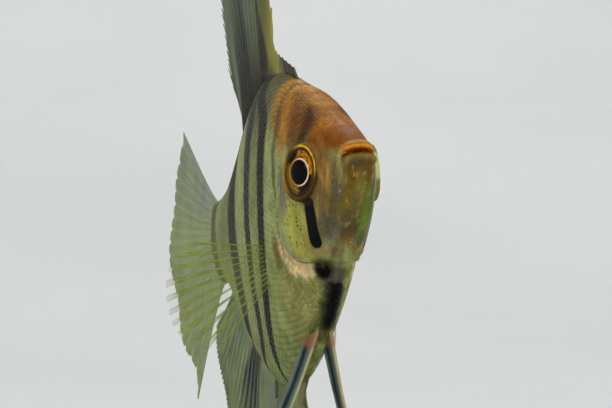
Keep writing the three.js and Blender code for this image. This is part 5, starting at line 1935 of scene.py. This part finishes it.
@dataclass
class Studio:
    """A pale floor that rises all round into a backdrop, soft light and the camera."""

    form: FishForm
    azimuth: float = math.radians(66.5)
    distance: float = 0.224  # metres from the middle between the eyes
    lens: float = 99.8
    aim_right: float = 3.96 * MM  # how far beside and below the eyes the camera aims
    aim_down: float = 4.09 * MM
    floor_radius: float = 0.55  # metres; the floor's flat part
    curve: float = 1.6  # metres; the radius of its rise

    def camera(self) -> None:
        """Makes the camera, level with the eyes."""
        station, height = EYE_PLACE
        eyes = Vector(self.form.place(station, height, 0.0))
        back = Vector((math.sin(self.azimuth), -math.cos(self.azimuth), 0.0))
        right = Vector((math.cos(self.azimuth), math.sin(self.azimuth), 0.0))
        data = bpy.data.cameras.new("camera")
        data.lens, data.sensor_width = self.lens, 36.0
        data.clip_start, data.clip_end = 0.01, 20.0
        camera = linked("camera", data)
        camera.location = eyes + back * self.distance
        look_at(camera, eyes - right * self.aim_right - Vector((0, 0, self.aim_down)))
        bpy.context.scene.camera = camera

    def backdrop(self) -> None:
        """Makes the floor, which rises in one wide curve to a wall all round."""
        arc = [
            (self.floor_radius + self.curve * math.sin(a), self.curve * (1 - math.cos(a)))
            for a in np.linspace(0, math.pi / 2, 32)
        ]
        bm = bmesh.new()
        lathe(bm, np.array([(0.0, 0.0), (0.25, 0.0), *arc]), 96, Matrix.Identity(4))
        floor = as_object("floor", bm)
        floor.data.materials.append(FloorFinish().build())

    def lamp(self, name: str, place: Triple, size: float, power: float, warmth: float) -> None:
        """Makes a square soft lamp that looks at the fish."""
        data = bpy.data.lights.new(name, "AREA")
        data.shape, data.size, data.energy = "SQUARE", size, power
        data.color = (1.0, 1.0 - 0.06 * warmth, 1.0 - 0.14 * warmth)
        lamp = linked(name, data)
        lamp.location = place
        look_at(lamp, Vector((0.0, 0.0, 0.08)))

    def lights(self) -> None:
        """Makes the lamps and an even sky."""
        self.lamp("key", (1.3, -0.3, 2.2), 1.3, 32.0, 0.5)
        self.lamp("fill", (1.5, 1.7, 1.1), 1.5, 10.0, 0.2)
        self.lamp("rear", (-1.6, 0.5, 1.7), 1.4, 16.0, 0.0)
        world = bpy.data.worlds.new("sky")
        world.use_nodes = True
        sky = world.node_tree.nodes["Background"].inputs
        sky["Color"].default_value, sky["Strength"].default_value = (0.97, 0.98, 1.0, 1.0), 0.36
        bpy.context.scene.world = world
        bpy.context.scene.view_settings.view_transform = "Standard"


# -- putting it together
def build_fish(form: FishForm, markings: NodeTree) -> None:
    """Builds the skin, the eyes, the scales and the fins.

    Args:
        form: Where the fish stands.
        markings: Its colours and bars.
    """
    eyes = {sign: Eye(form, sign) for sign in LABELS}
    Skin(form).build(SkinFinish(markings).build(), {sign: eye.seat for sign, eye in eyes.items()})
    one = eyes[1]
    gloss = EyeFinish(one.pupil / one.radius, one.ring / one.radius, one.iris / one.radius).build()
    for eye in eyes.values():
        eye.build(gloss)
    scales = ScaleFinish(markings).build()
    for sign in LABELS:
        ScaleCoat(form, sign).build(scales)
    materials = {finish.kind: finish.build(markings) for finish in FIN_FINISHES}
    for fin, kind in FinPlans(form).all():
        fin.build(materials[kind])


def main() -> None:
    """Builds the whole model and its studio; each piece's face count is logged as it is made."""
    logging.basicConfig(level=logging.INFO, format="%(name)s: %(message)s")
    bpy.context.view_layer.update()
    form = FishForm.from_frame()
    markings = Markings(form).build()
    studio = Studio(form)
    studio.camera()
    studio.backdrop()
    studio.lights()
    build_fish(form, markings)
    stand = Stand(form)
    stand.base(WoodFinish().build())
    steel = SteelFinish().build()
    stand.rod(steel)
    stand.collar(steel)


if __name__ == "__main__":
    main()
